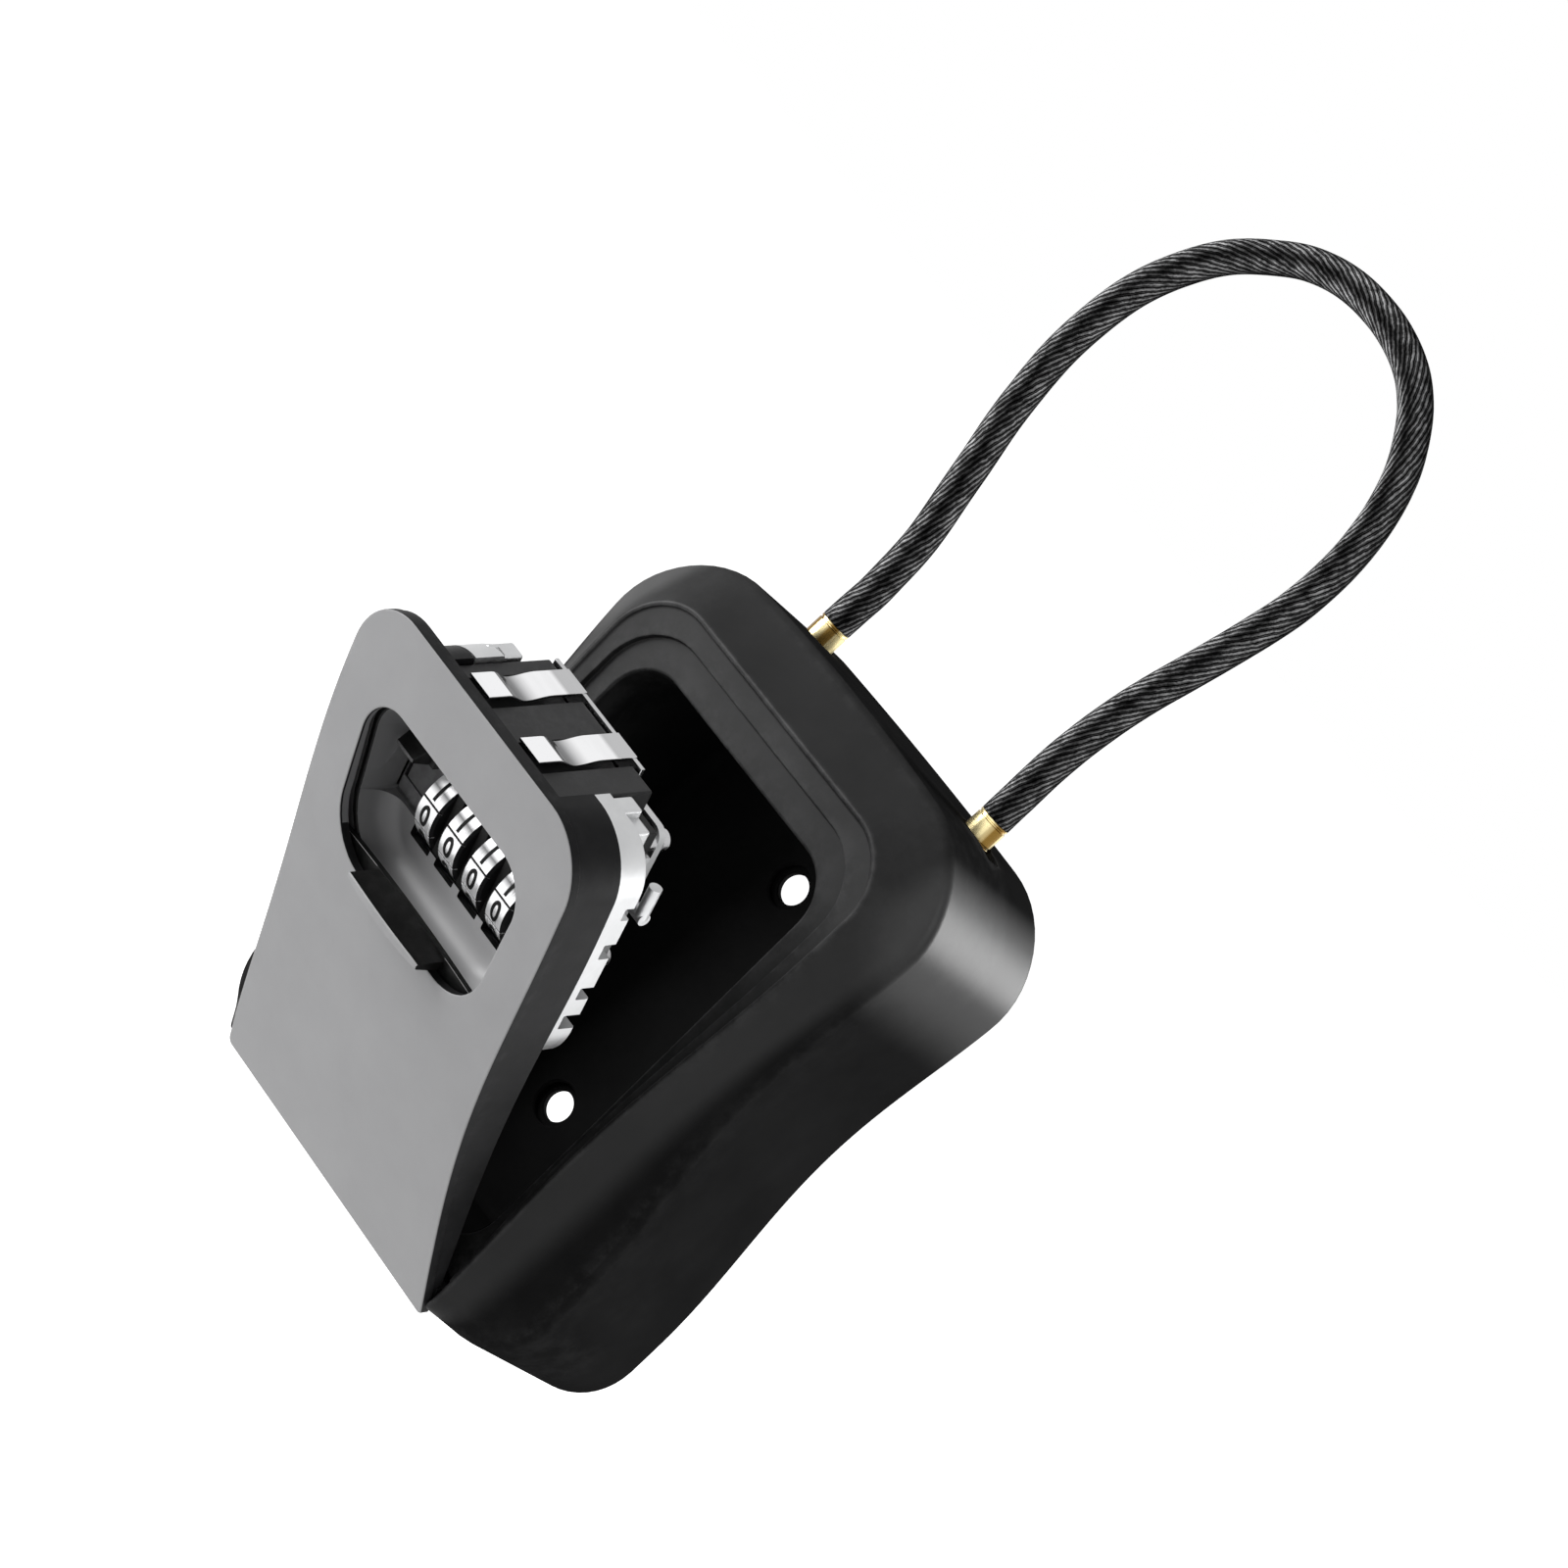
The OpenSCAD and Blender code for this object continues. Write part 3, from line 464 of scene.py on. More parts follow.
class Finish(Nodes):
    """A material, built from nodes."""

    def __init__(self, name, **fixed):
        self.material = bpy.data.materials.new(name)
        super().__init__(self.material)
        self.shader = self.node("BsdfPrincipled").socket.node
        self.node("OutputMaterial", None, {0: self.shader.outputs[0]})
        for key, value in fixed.items():
            self.set(self.shader, key.replace("_", " ").title().replace("Ior", "IOR"), value)

    def place(self, scale=(1, 1, 1)):
        """The piece's own place in metres, scaled."""
        here = self.node("TexCoord", output="Object")
        return self.node("Mapping", None, {"Vector": here, "Scale": scale})

    def noise(self, scale, detail=3, rough=0.55, where=None):
        return self.node("TexNoise", None, {"Scale": scale, "Detail": detail, "Roughness": rough,
                                            "Vector": where or self.place()})

    def ramp(self, value, low, high):
        """0 below the low value and 1 above the high one, in a straight line between them."""
        return self.node("ValToRGB", {"stops": ((low, 0), (high, 1))}, {0: value})

    def on_door(self, name):
        """Where it is on the shut door in millimetres: "x", "n", depth, or "z", height."""
        c, t = math.cos(math.radians(OPEN_ANGLE)), math.sin(math.radians(OPEN_ANGLE))
        way, start = {"n": ((0, -c, -t), HINGE_N - HINGE_N * c + HINGE_Z * t),
                      "z": ((0, -t, c), HINGE_Z - HINGE_N * t - HINGE_Z * c),
                      "x": ((1, 0, 0), 0)}[name]
        far = self.node("VectorMath", {"operation": "DOT_PRODUCT"}, {0: self.place(), 1: way},
                        "Value")
        return far / MM + start

    def between(self, value, low, high):
        """0 below the low value, 1 above the high one, smooth between them."""
        return self.node("MapRange", {"interpolation_type": "SMOOTHSTEP"},
                         {"Value": value, "From Min": low, "From Max": high})

    def stored(self, name):
        """A number kept on the mesh."""
        return self.node("Attribute", {"attribute_name": name}, output="Fac")

    def rubbed(self, scale, detail, rough, low, high):
        """Where the corners are rubbed, in patches."""
        return self.stored("edge") * self.ramp(self.noise(scale, detail, rough), low, high)

    def blend(self, amount, a, b):
        return self.node("Mix", {"data_type": "RGBA"}, {0: amount, 6: a, 7: b}, 2)

    def bump(self, height, distance, strength=1.0):
        inputs = {"Height": height, "Distance": distance, "Strength": strength}
        self.set(self.shader, "Normal", self.node("Bump", None, inputs))

    def colour(self, value):
        self.set(self.shader, "Base Color", value)

    def rough(self, value):
        self.set(self.shader, "Roughness", value)

    def sprayed(self, rough):
        """The fine sanded grain of a sprayed coat. Gives its slow mottle."""
        mottle, grains = self.noise(60, 4), self.noise(5200, 2, 0.6)
        self.rough(rough + (mottle - 0.5) * 0.12 + (grains - 0.5) * 0.1)
        self.bump(grains, 0.000012)
        return mottle


def grey(level, blue=0.0):
    """A neutral colour, a little bluer if asked."""
    return level, level, level + blue


def powder_coat(name, dark, light):
    """A fine powder coat: slight mottle, a sanded grain and rubbed corners."""
    f = Finish(name, specular_ior_level=0.3)
    worn = f.rubbed(240, 5, 0.7, 0.42, 0.62) * 0.06
    base = f.blend(f.ramp(f.sprayed(0.42 - worn * 0.1), 0.3, 0.7), dark, light)
    f.colour(f.blend(worn, base, tuple(c * 1.7 + 0.004 for c in light)))
    return f.material


def case_coat(name):
    """The case's black coat: matt, with a satin sheen in front and on both shoulders, and painted
    light that makes the front faces a little paler than the sides.
    """
    f = Finish(name, specular_ior_level=0.0, coat_roughness=0.42, coat_ior=1.5)
    tone = f.ramp(f.sprayed(0.42), 0.3, 0.7)
    x, y, height = f.split("SeparateXYZ", {0: f.place((1 / MM, 1 / MM, 1 / MM))})
    across, depth = f.math("ABSOLUTE", x), y * -1
    front = f.between(depth, 34.5, 37.5)
    worn = f.rubbed(240, 5, 0.7, 0.42, 0.62) * 0.5 * f.between(depth, 8, 14)
    sides = f.blend(tone, grey(0.012, 0.0002), grey(0.017, 0.0002))
    # painted light: the front faces take a paler black than the sides
    base = f.blend(front, sides, f.blend(tone, grey(0.014, 0.0003), grey(0.02, 0.0004)))
    f.colour(f.blend(worn, base, grey(0.075, 0.001)))
    shoulder = f.between(across + height * 0.6, 62, 73) * f.between(across, 37, 42)
    f.set(f.shader, "Coat Weight", shoulder * 0.5 + front * 0.3)
    return f.material


def moulded(name, colour, rough, grain=0.00001, gloss=0.2):
    """Moulded black plastic with a fine spark-eroded grain."""
    f = Finish(name, specular_ior_level=gloss)
    cloud, grains = f.noise(90, 3), f.noise(3400, 3, 0.6)
    pale = tuple(c * 1.5 + 0.002 for c in colour)
    f.colour(f.blend(f.rubbed(300, 4, 0.7, 0.45, 0.65) * 0.6,
                     f.blend(f.ramp(cloud, 0.35, 0.7), colour, pale),
                     tuple(c * 2.2 + 0.006 for c in colour)))
    f.rough(rough + (cloud - 0.5) * 0.1 + (grains - 0.5) * 0.12)
    f.bump(grains, grain)
    return f.material


def metal(name, colour, rough, brushed=(1, 1, 1), bump=0.000004, tarnish=0.25):
    """Bare or plated metal: fine brushing, and a faint haze that dulls it in patches."""
    f = Finish(name, metallic=1.0)
    lines, haze = f.noise(900, 4, 0.65, f.place(brushed)), f.noise(130, 4, 0.6)
    dull = tuple(c * (1 - tarnish) for c in colour)
    f.colour(f.blend(f.ramp(haze, 0.35, 0.75), colour, dull))
    f.rough(rough + (lines - 0.5) * rough * 0.8 + (haze - 0.5) * rough * 0.5)
    f.bump(lines, bump)
    return f.material


def drawn_brass(name):
    """Polished brass, with painted reflections: bright and dark bands that run along it."""
    f = Finish(name, metallic=1.0)
    # painted reflections: dark and bright bands stretched along the length
    bands = f.ramp(f.noise(430, 0, 0.5, f.place((1, 1, 0.01))), 0.42, 0.5)
    fine = f.noise(1300, 1, 0.5, f.place((1, 1, 0.01)))
    f.colour(f.blend(bands * (0.85 + fine * 0.3), (0.22, 0.13, 0.03), (0.9, 0.77, 0.42)))
    f.rough(0.24 + fine * 0.06)
    return f.material


def dish_paint(name):
    """The door's grey paint in the dish, with painted shade that darkens it towards the left wall.
    """
    f = Finish(name, specular_ior_level=0.3)
    # painted shade: darker towards the left wall and the top of the dish
    clear = f.between(f.on_door("x") - f.on_door("z") * 0.45, -17.6, 4.4)
    tone = clear * (0.85 + f.sprayed(0.38) * 0.3)
    f.colour(f.blend(tone, grey(0.17, 0.003), grey(0.31, 0.005)))
    return f.material


def waved_chrome(name):
    """Bright plate with painted reflection and shade: bright on the pads and crests, dark in the
    dip of each tongue, dimmer towards the rear.
    """
    f = Finish(name, metallic=1.0)
    depth = f.on_door("n")
    front = f.between(depth, LOCK_FRONT - 2.0, LOCK_FRONT - 1.7)
    crest = 1 - f.between(depth, LOCK_FRONT - 8.6, LOCK_FRONT - 3.6)
    rear = f.between(depth, LOCK_FRONT - 14.4, LOCK_FRONT - 13.2) * 0.48 + 0.52
    fine = f.noise(260, 4, 0.6, f.place((0.15, 1, 1)))
    # painted reflection and shade: bright pads and crests, a dark dip, a dimmer rear
    bright = front + crest * rear - front * crest * rear
    f.colour(f.blend(bright * (0.88 + fine * 0.24), grey(0.055, 0.003), grey(0.88, 0.01)))
    f.rough(0.1 + fine * 0.08)
    f.bump(fine, 0.000003)
    return f.material


def turned_silver(name):
    """Satin silver, turned: fine streaks that run round the dial, and painted shade where the
    stored shade value is high.
    """
    f = Finish(name)
    streaks = f.ramp(f.noise(620, 3, 0.6, f.place((1, 0.12, 0.12))), 0.3, 0.7)
    haze = f.noise(170, 3)
    bright = f.blend(streaks * (0.75 + haze * 0.5), grey(0.72, 0.01), grey(0.9, 0.01))
    # painted shade: a dark band across the middle of each numeral field but the zero's
    f.colour(f.blend(f.stored("shade"), bright, grey(0.1, 0.002)))
    f.set(f.shader, "Metallic", 0.4 + haze * 0.2)
    f.rough(0.24 + streaks * 0.08)
    f.bump(streaks, 0.000003)
    return f.material


ROPE_PITCH, STRANDS, WIRES = 0.046, 20, 53


def coated_rope(name):
    """Twisted steel strands seen through a smooth dark sheath, with painted highlight bands along
    the cable.
    """
    f = Finish(name, coat_roughness=0.1, coat_ior=1.5, coat_weight=0.0, specular_ior_level=0.0)
    lay = f.node("UVMap", {"uv_map": "lay"}, output="UV")
    round_way, along, _ = f.split("SeparateXYZ", {0: lay})

    def wave(turns):
        return f.math("SINE", turns * (2 * math.pi)) * 0.5 + 0.5

    wander = (f.noise(500, 3, 0.6) - 0.5) * 0.9
    turn = round_way - along / ROPE_PITCH
    strand, wire = wave(turn * STRANDS + wander), wave(turn * WIRES + wander * 2)
    # painted highlight: bright bands that run along the cable, dark between them
    sides = wave((round_way + along * 0.603 - 0.902) * 4)
    glint = f.ramp(f.noise(420, 4, 0.75), 0.4, 0.62)
    body = (strand ** 3 * 0.75 + wire ** 4 * 0.25) * (0.1 + sides * 0.9)
    f.colour(f.blend(body * (0.25 + glint * 0.75), grey(0.0008), grey(0.75, 0.01)))
    f.rough(0.38 - body * 0.12)
    f.bump(strand, 0.00008, 0.6)
    return f.material


CASE_BLACK = case_coat("case_black")
DOOR_GREY = powder_coat("door_grey", grey(0.235, 0.005), grey(0.265, 0.005))
DISH_GREY = dish_paint("dish_grey")
SHELL_BLACK = moulded("shell_black", grey(0.009, 0.0005), 0.42, gloss=0.06)
COVER_BLACK = moulded("cover_black", grey(0.004), 0.36, gloss=0.12)
SLIDE_GREY = moulded("slide_grey", grey(0.085, 0.002), 0.4)
LOCK_BLACK = moulded("lock_black", grey(0.012, 0.0005), 0.46)
TRAY_METAL = metal("tray_metal", (0.55, 0.555, 0.56), 0.42, (1, 1, 0.2), 0.000008, 0.12)
LATCH_CHROME = waved_chrome("latch_chrome")
LATCH_EDGE = metal("latch_edge", grey(0.86, 0.01), 0.16)
STEEL = metal("steel", grey(0.6, 0.01), 0.26, (1, 1, 0.1))
DIAL_SILVER = turned_silver("dial_silver")
BRASS = drawn_brass("brass")
CABLE_BLACK = coated_rope("cable_black")
INK_BLACK = moulded("ink_black", grey(0.003), 0.5, 0.000004, 0.1)

# ---------------------------------------------------------------- shackle

CABLE_ROUTE = [
    (-25.75, 65.5), (-25.7, 70), (-25.6, 76), (-26.8, 87), (-30.4, 100.5), (-34, 114),
    (-35.8, 125.5), (-35.8, 135.5), (-34.2, 144.5), (-31, 152.2), (-26.6, 158.8),
    (-21, 164), (-13.8, 168.7), (-4.8, 171.4), (5.2, 171.6), (14.4, 169.5), (21.2, 165.8),
    (26.3, 160.8), (30.4, 154.8), (33.4, 147.3), (35, 138.2), (35, 129), (33.3, 119),
    (30.4, 107.5), (27.1, 94), (25.6, 80.5), (25.7, 70), (25.75, 65.5)]


def smooth_route(points, per_span=8):
    """Points along a smooth curve through the route, straight out of both ferrules."""
    first, last = points[0], points[-1]
    padded = [(first[0], first[1] - 5)] + points + [(last[0], last[1] - 5)]
    out = []
    for k in range(1, len(padded) - 2):
        a, b, c, d = padded[k - 1:k + 3]
        for s in range(per_span):
            t = s / per_span
            out.append(tuple(
                0.5 * (2 * q + (r - p) * t + (2 * p - 5 * q + 4 * r - w) * t ** 2
                       + (3 * q - p - 3 * r + w) * t ** 3) for p, q, r, w in zip(a, b, c, d)))
    return out + [last]


LOBES, LOBE_DEPTH, LOBE_TURNS = 7, 0.03, 62


def make_cable():
    route = smooth_route(CABLE_ROUTE)
    sides, rings, along, lengths = 40, [], 0.0, []
    for k, (x, z) in enumerate(route):
        a, b = route[max(k - 1, 0)], route[min(k + 1, len(route) - 1)]
        if k:
            along += math.dist(route[k - 1], route[k])
        lengths.append(along)
        way = Vector((b[0] - a[0], b[1] - a[1])).normalized()
        if k in (0, len(route) - 1):
            way = Vector((0, 1 if k == 0 else -1))
        rings.append([])
        for s in range(sides):
            t = 2 * math.pi * s / sides
            wave = math.cos(LOBES * t + LOBE_TURNS * 2 * math.pi * along * MM)
            lobe = CABLE_R - LOBE_DEPTH + LOBE_DEPTH * wave
            across = lobe * math.cos(t)
            rings[-1].append((x + across * way.y, LEG_N - lobe * math.sin(t), z - across * way.x))
    mesh = solid(*skin(rings))
    layer = mesh.uv_layers.new(name="lay")
    for face in mesh.polygons:
        slots = [v % sides for v in face.vertices]
        wraps = len(slots) == 4 and max(slots) - min(slots) > 1
        for loop, v in zip(face.loop_indices, face.vertices):
            turn = v % sides
            if wraps and turn == 0:
                turn = sides
            layer.data[loop].uv = (turn / sides, lengths[v // sides] * MM)
    obj = piece("shackle_cable", mesh, "shackle", CABLE_BLACK, ["cable"], sharp=60)
    path = [(x * MM, -LEG_N * MM, z * MM) for x, z in route[::2] + route[-1:]]


def make_ferrule(name, x):
    """A turned brass ferrule: crimped collar, neck and bead."""
    r = CABLE_R
    profile = [(0, 43.6), (2.1, 43.6), (2.6, 44.1), (2.6, 45.5), (2.1, 46), (1.9, 46.2),
               (1.9, 56.8), (2.2, 57), (r - 0.25, 57), (r, 57.25), (r, 60.6), (r - 0.14, 60.75),
               (r - 0.14, 61.05), (r, 61.2), (r, 64.55), (r - 0.2, 64.7), (r - 0.2, 64.9),
               (r, 65.05), (r, 65.3), (r - 0.2, 65.5), (0, 65.5)]
    mesh = turned(profile, (x, LEG_N, 0), "z", 72)
    return piece("brass_" + name, mesh, "shackle", BRASS, [name], sharp=28)


FERRULES = [make_ferrule("ferrule_left", -LEG_X), make_ferrule("ferrule_right", LEG_X)]
make_cable()

# ---------------------------------------------------------------- case


CORNER_R = 1.2
CREST_INSET, CREST_DROP = 1.15, 7.9


def make_case():
    rings = []
    for k in range(5):
        a = math.pi / 8 * k
        rings.append(ring(case_outline(CORNER_R * (1 - math.sin(a))), CORNER_R * (1 - math.cos(a))))
    rings += [ring(case_outline(0, n=n), n) for n in (6, 12, 18, 24)]
    for k in range(8):
        t = k / 7
        drop = (1 - t) ** 2 * 10.2 + 2 * t * (1 - t) * 8.9 + t * t * CREST_DROP
        rings.append(ring(case_outline(CREST_INSET * t * t, 0.02 * t, 34), rim_n, drop))
    outer, inner = case_outline(CREST_INSET, 0.02, 34), bevel_outline(-0.6)
    for k in range(1, 7):
        t = k / 6
        drop = CREST_DROP + (0.55 - CREST_DROP) * t + 0.35 * math.sin(math.pi * t)
        rings.append(ring(mixed(outer, inner, t), rim_n, drop))
    for inset, drop in ((-0.35, 0.3), (-0.05, 0.12), (0.3, 0.1), (0.6, 0.22), (0.8, 0.5),
                        (1.1, 0.62)):
        rings.append(ring(bevel_outline(inset), rim_n, drop))
    for inset, drop in ((0.35, 0.62), (0.1, 0.7), (0, 0.95)):
        rings.append(ring(door_outline(-DOOR_GAP - inset, -HALF_H + 0.3), rim_n, drop))
    for inset, up in ((0, 0.3), (0.1, 0.08), (0.3, 0)):
        rings.append(ring(door_outline(-DOOR_GAP + inset, -HALF_H + 0.4), seat_n, -up))
    for k in range(4):
        a = math.pi / 6 * k
        rings.append(ring(cavity_outline(-0.6 * (1 - math.sin(a))), seat_n,
                          0.6 * (1 - math.cos(a))))
    rings.append(ring(cavity_outline(0), 20))
    for k in range(6):
        a = math.pi / 10 * k
        inset, up = 2.2 * (1 - math.cos(a)), 2.2 * (1 - math.sin(a))
        rings.append(ring(cavity_outline(inset), BACK_WALL + up))
    cutters = [block(-34.85, 34.85, 32.1, 60, -70, -53.5, 0.3)]
    screw = [(0, -2), (3.35, -2), (3.35, -0.01), (3, 0.35), (3, 1.4), (3.25, 1.6), (4.2, 1.6),
             (4.2, 2.75), (4.5, 3.02), (4.5, 6), (0, 6)]
    socket = [(0, 42.9), (2.75, 42.9), (2.75, 56.99), (3.25, 57), (3.25, 60.2), (3.6, 60.7),
              (3.6, 64), (0, 64)]
    cutters += [turned(screw, (0, 0, z), "n", 48) for z in (-SCREW_Z, SCREW_Z)]
    cutters += [turned(socket, (x, LEG_N, 0), "z", 48) for x in (-LEG_X, LEG_X)]
    cutters += [block(LEG_X - 3.2, LEG_X + 6.8, LEG_N - 1.4, LEG_N + 3.4, 57.8, 66, 0.6, 3),
                block(-33.25, 33.25, -2, 20.5, 43, 55.5, 0.2),
                block(-36.25, 36.25, -2, 2, 42.2, 56.5, 0.2),
                block(-11.3, -3.5, LEG_N - 4, LEG_N + 4, 39, 45, 0.3)]
    shell = cut_out(solid(*skin(rings)), cutters)
    piece("case_body", shell, "case", CASE_BLACK, ["case_shell"], sharp=30)
    barrel = turned([(1.4, -25), (2.1, -25), (BARREL_R, -24.7), (BARREL_R, 24.7), (2.1, 25),
                     (1.4, 25)], (0, HINGE_N, HINGE_Z), "x", 48)
    foot = block(-25, 25, 31.6, HINGE_N, HINGE_Z - 2.35, HINGE_Z + 2.2, 0.3)
    barrel = cut_out(barrel, [foot], "UNION")
    piece("case_hinge_barrel", barrel, "case", CASE_BLACK)
    tick = block(LEG_X - 4.4, LEG_X - 3.4, LEG_N - 1.2, LEG_N + 1.6, 60.6, 61.25, 0.25, 3)
    piece("socket_tick", tick, "case", CASE_BLACK)


make_case()

# ---------------------------------------------------------------- door


def tray_outline(inset):
    return round_rect(-CAVITY_HW + 0.6 + inset, CAVITY_HW - 0.6 - inset, -8 + inset,
                      CAVITY_TOP - 0.8 - inset, CAVITY_R - inset, 12)


def make_door_face():
    """The curved face plate, as one hoop from its back, round its edge and in at the window."""
    rings = []
    for inset, drop in ((0.1, 1.8), (0, 1.7), (0, 0.3), (0.03, 0.14), (0.12, 0.03), (0.26, 0),
                        (0.4, 0)):
        rings.append(ring(door_outline(inset), face_n, drop))
    outer, inner = door_outline(0.4), window_outline(0.45)
    rings += [ring(mixed(outer, inner, k / 12), face_n) for k in range(1, 12)]
    for grow, drop in ((0.45, 0), (0.3, 0), (0.13, 0.03), (0.03, 0.13), (0, 0.5), (0, 1.1),
                       (0, 1.8)):
        rings.append(ring(window_outline(grow), face_n, drop))
    inner, outer = window_outline(), door_outline(0.1)
    rings += [ring(mixed(inner, outer, k / 10), face_n, FACE_T) for k in range(1, 10)]
    plate = two_tone(cut_out(solid(*skin(rings, closed=True)), [pocket_block()]))
    for face, x, n, z in spots(plate):
        inside = abs(x) < 25.2 and abs(z - WINDOW_Z) < WINDOW_H + 1
        if inside and z > 4 and 0.5 < face_n(z) - n < 1.79:
            face.material_index = 2
    piece("face_plate", plate, "door", [DOOR_GREY, SHELL_BLACK, DISH_GREY], ["door_face"],
          True)


def two_tone(mesh, first=0, limit=0.6):
    """One finish on what faces the front, and the other on the rest."""
    for face in mesh.polygons:
        face.material_index = first if -face.normal.y > limit else 1 - first
    return mesh


def pocket_block():
    """The space that the weather cover slides in."""
    mesh = block(-27.8, 27.8, -1.6, 0, -0.3, POCKET_HIGH - POCKET_LOW + 2.1, 0.05, 1)
    return tilted(mesh)


def tilted(mesh):
    """Puts a mesh drawn on the plane of the pocket, with its front at n = 0, in place."""
    mesh.transform(Matrix.Translation((0, -POCKET_N * MM, POCKET_LOW * MM))
                   @ Matrix.Rotation(POCKET_TILT, 4, "X"))
    return mesh


def make_door_shell():
    """The black shell behind the face plate: side walls, a thin lip over the lock, barrels."""
    def seat(z):
        return seat_n(z) + DOOR_GAP

    def inner(z):
        return max(face_n(z) - 4.6, min(seat(z) + 0.2, face_n(z) - 2.9))

    front, edge, inside = window_outline(1.1), door_outline(0.3), door_outline(3.1)
    rings = [ring(mixed(front, edge, k / 8), face_n, FACE_T) for k in range(9)]
    rings.append(ring(edge, lambda z: max(face_n(z) - 4, seat(z) + 0.5)))
    for inset, up in ((0.3, 0.4), (0.38, 0.12), (0.6, 0), (2.0, 0), (2.3, 0.2)):
        rings.append(ring(door_outline(inset), lambda z, u=up: min(seat(z) + u, face_n(z) - 3 + u)))
    for inset, drop in ((2.3, 5.6), (2.5, 4.9), (3.1, 4.6)):
        rings.append(ring(door_outline(inset), lambda z, d=drop: max(
            face_n(z) - d, min(seat(z) + 0.2, face_n(z) - 2.9))))
    rings += [ring(mixed(inside, front, k / 8), inner) for k in range(1, 9)]
    head = block(HEAD_LEFT - SLIP, HEAD_RIGHT + SLIP, 0, LOCK_FRONT + 3.6 + SLIP, LOCK_FOOT,
                 LOCK_TOP + 3, 0.1)
    shell = cut_out(solid(*skin(rings, closed=True)), [
        pocket_block(), head,
        block(-40, HEAD_RIGHT + 6.5, 0, face_n(42) - 3, LIP_FOOT, 60, 0.25),
        block(-25.3, 25.3, 20, HINGE_N + 2.75, -70, HINGE_Z + 2.8, 0.05, 1)])
    front = face_n(40) - FACE_T - 0.6
    collar = [ring(tray_outline(inset), n) for inset, n in (
        (1.8, front), (1.8, TRAY_FRONT + 0.5), (1.6, TRAY_FRONT + 0.3), (0.2, TRAY_FRONT + 0.3),
        (0, TRAY_FRONT + 0.5), (0, front))]
    collar = cut_out(solid(*skin(collar, closed=True)), [
        block(-40, 40, 0, 60, -60, CAVITY_TOP - CAVITY_R - 1, 0.05, 1), head])
    for face, x, n, z in spots(shell):
        x = abs(x)
        in_pocket = x < 27.9 and abs(z - WINDOW_Z) < WINDOW_H + 2 and n > pocket_n(z) - 1.7
        face.material_index = int(in_pocket and (z > 3 or x > 24))
    parts = [shell, collar]
    for a, b in ((-34.0, -25.3), (25.3, 34.0)):
        knuckle = [(BARREL_BORE, a), (2.1, a), (BARREL_R, a + 0.3), (BARREL_R, b - 0.3), (2.1, b),
                   (BARREL_BORE, b)]
        parts += [turned(knuckle, (0, HINGE_N, HINGE_Z), "x", 48),
                  block(a, b, HINGE_N, HINGE_N + 2.6, HINGE_Z - 1.6, HINGE_Z + 2.8, 0.25)]
    piece("door_shell_black", gathered(parts), "door", [SHELL_BLACK, DISH_GREY], ["door_shell"],
          True)


def make_dish():
    """The dished tray that the dials show through, with black ribs between the dials, whose black
    is painted shade.
    """
    bowl = 4.2

    def brim(z):
        return pocket_n(z) - 1.5

    rings = [ring(window_outline(0.8), FLOOR_N - 1.2), ring(window_outline(0.8), brim),
             ring(window_outline(0.1), brim), ring(window_outline(-0.2), brim, 0.2),
             ring(window_outline(-0.45), FLOOR_N + bowl)]
    for k in range(1, 11):
        a = math.pi / 2 * k / 10
        rings.append(ring(window_outline(-0.5 - bowl * (1 - math.cos(a))),
                          FLOOR_N + bowl * (1 - math.sin(a))))
    inner = window_outline(-0.5 - bowl)
    rings.append(ring(mixed(inner, [(0, 13)] * len(inner), 0.25), FLOOR_N))
    reach = DIAL_X[3] + DIAL_SLOT_HW
    cutters = [block(-reach, reach, 35, 60, 7.4, 22.8, 0.3)]
    cutters += [block(x - DIAL_SLOT_HW, x + DIAL_SLOT_HW, 35, 60, 6.1, 22.8, 0.3) for x in DIAL_X]
    cutters.append(block(OPEN_X - 5.2, OPEN_X + 3.5, 35, 60, OPEN_Z - 11.1, OPEN_Z + 4.6, 0.5, 3))
    mesh = cut_out(solid(*skin(rings)), cutters)
    # painted shade: the walls of the openings and the front of the brim are inked black
    for face, x, n, z in spots(mesh):
        hole = n < FLOOR_N - 0.02 and abs(face.normal.y) < 0.7 and -26 < x < 17 and z > 5
        on_brim = n > FLOOR_N + 5 and -face.normal.y > 0.3
        face.material_index = int(hole or on_brim)
    piece("window_dish", mesh, "door", [DISH_GREY, INK_BLACK], ["dial_dish"], True)
    back = LOCK_FRONT - 0.27
    lining = [block(-24.3, -14.9, back, LOCK_FRONT + 0.1, 5.5, OPEN_Z - 8.4, 0.05, 1),
              block(-24.3, -23.3, back, LOCK_FRONT + 0.9, 8.5, 20, 0.05, 1),
              block(-24.3, -14.9, back, LOCK_FRONT + 0.9, 8.3, 9.15, 0.05, 1)]
    piece("slot_lining", gathered(lining), "door", SLIDE_GREY, on_door=True)
    # painted shade: black ribs between the dials
    ribs = [block(x - 1.0, x + 1.0, FLOOR_N - 1.2, FLOOR_N - 0.35, 7.3, 22.9, 0.1)
            for x in (-DIAL_PITCH, 0, DIAL_PITCH)]
    piece("dial_ribs", gathered(ribs), "door", INK_BLACK, on_door=True)


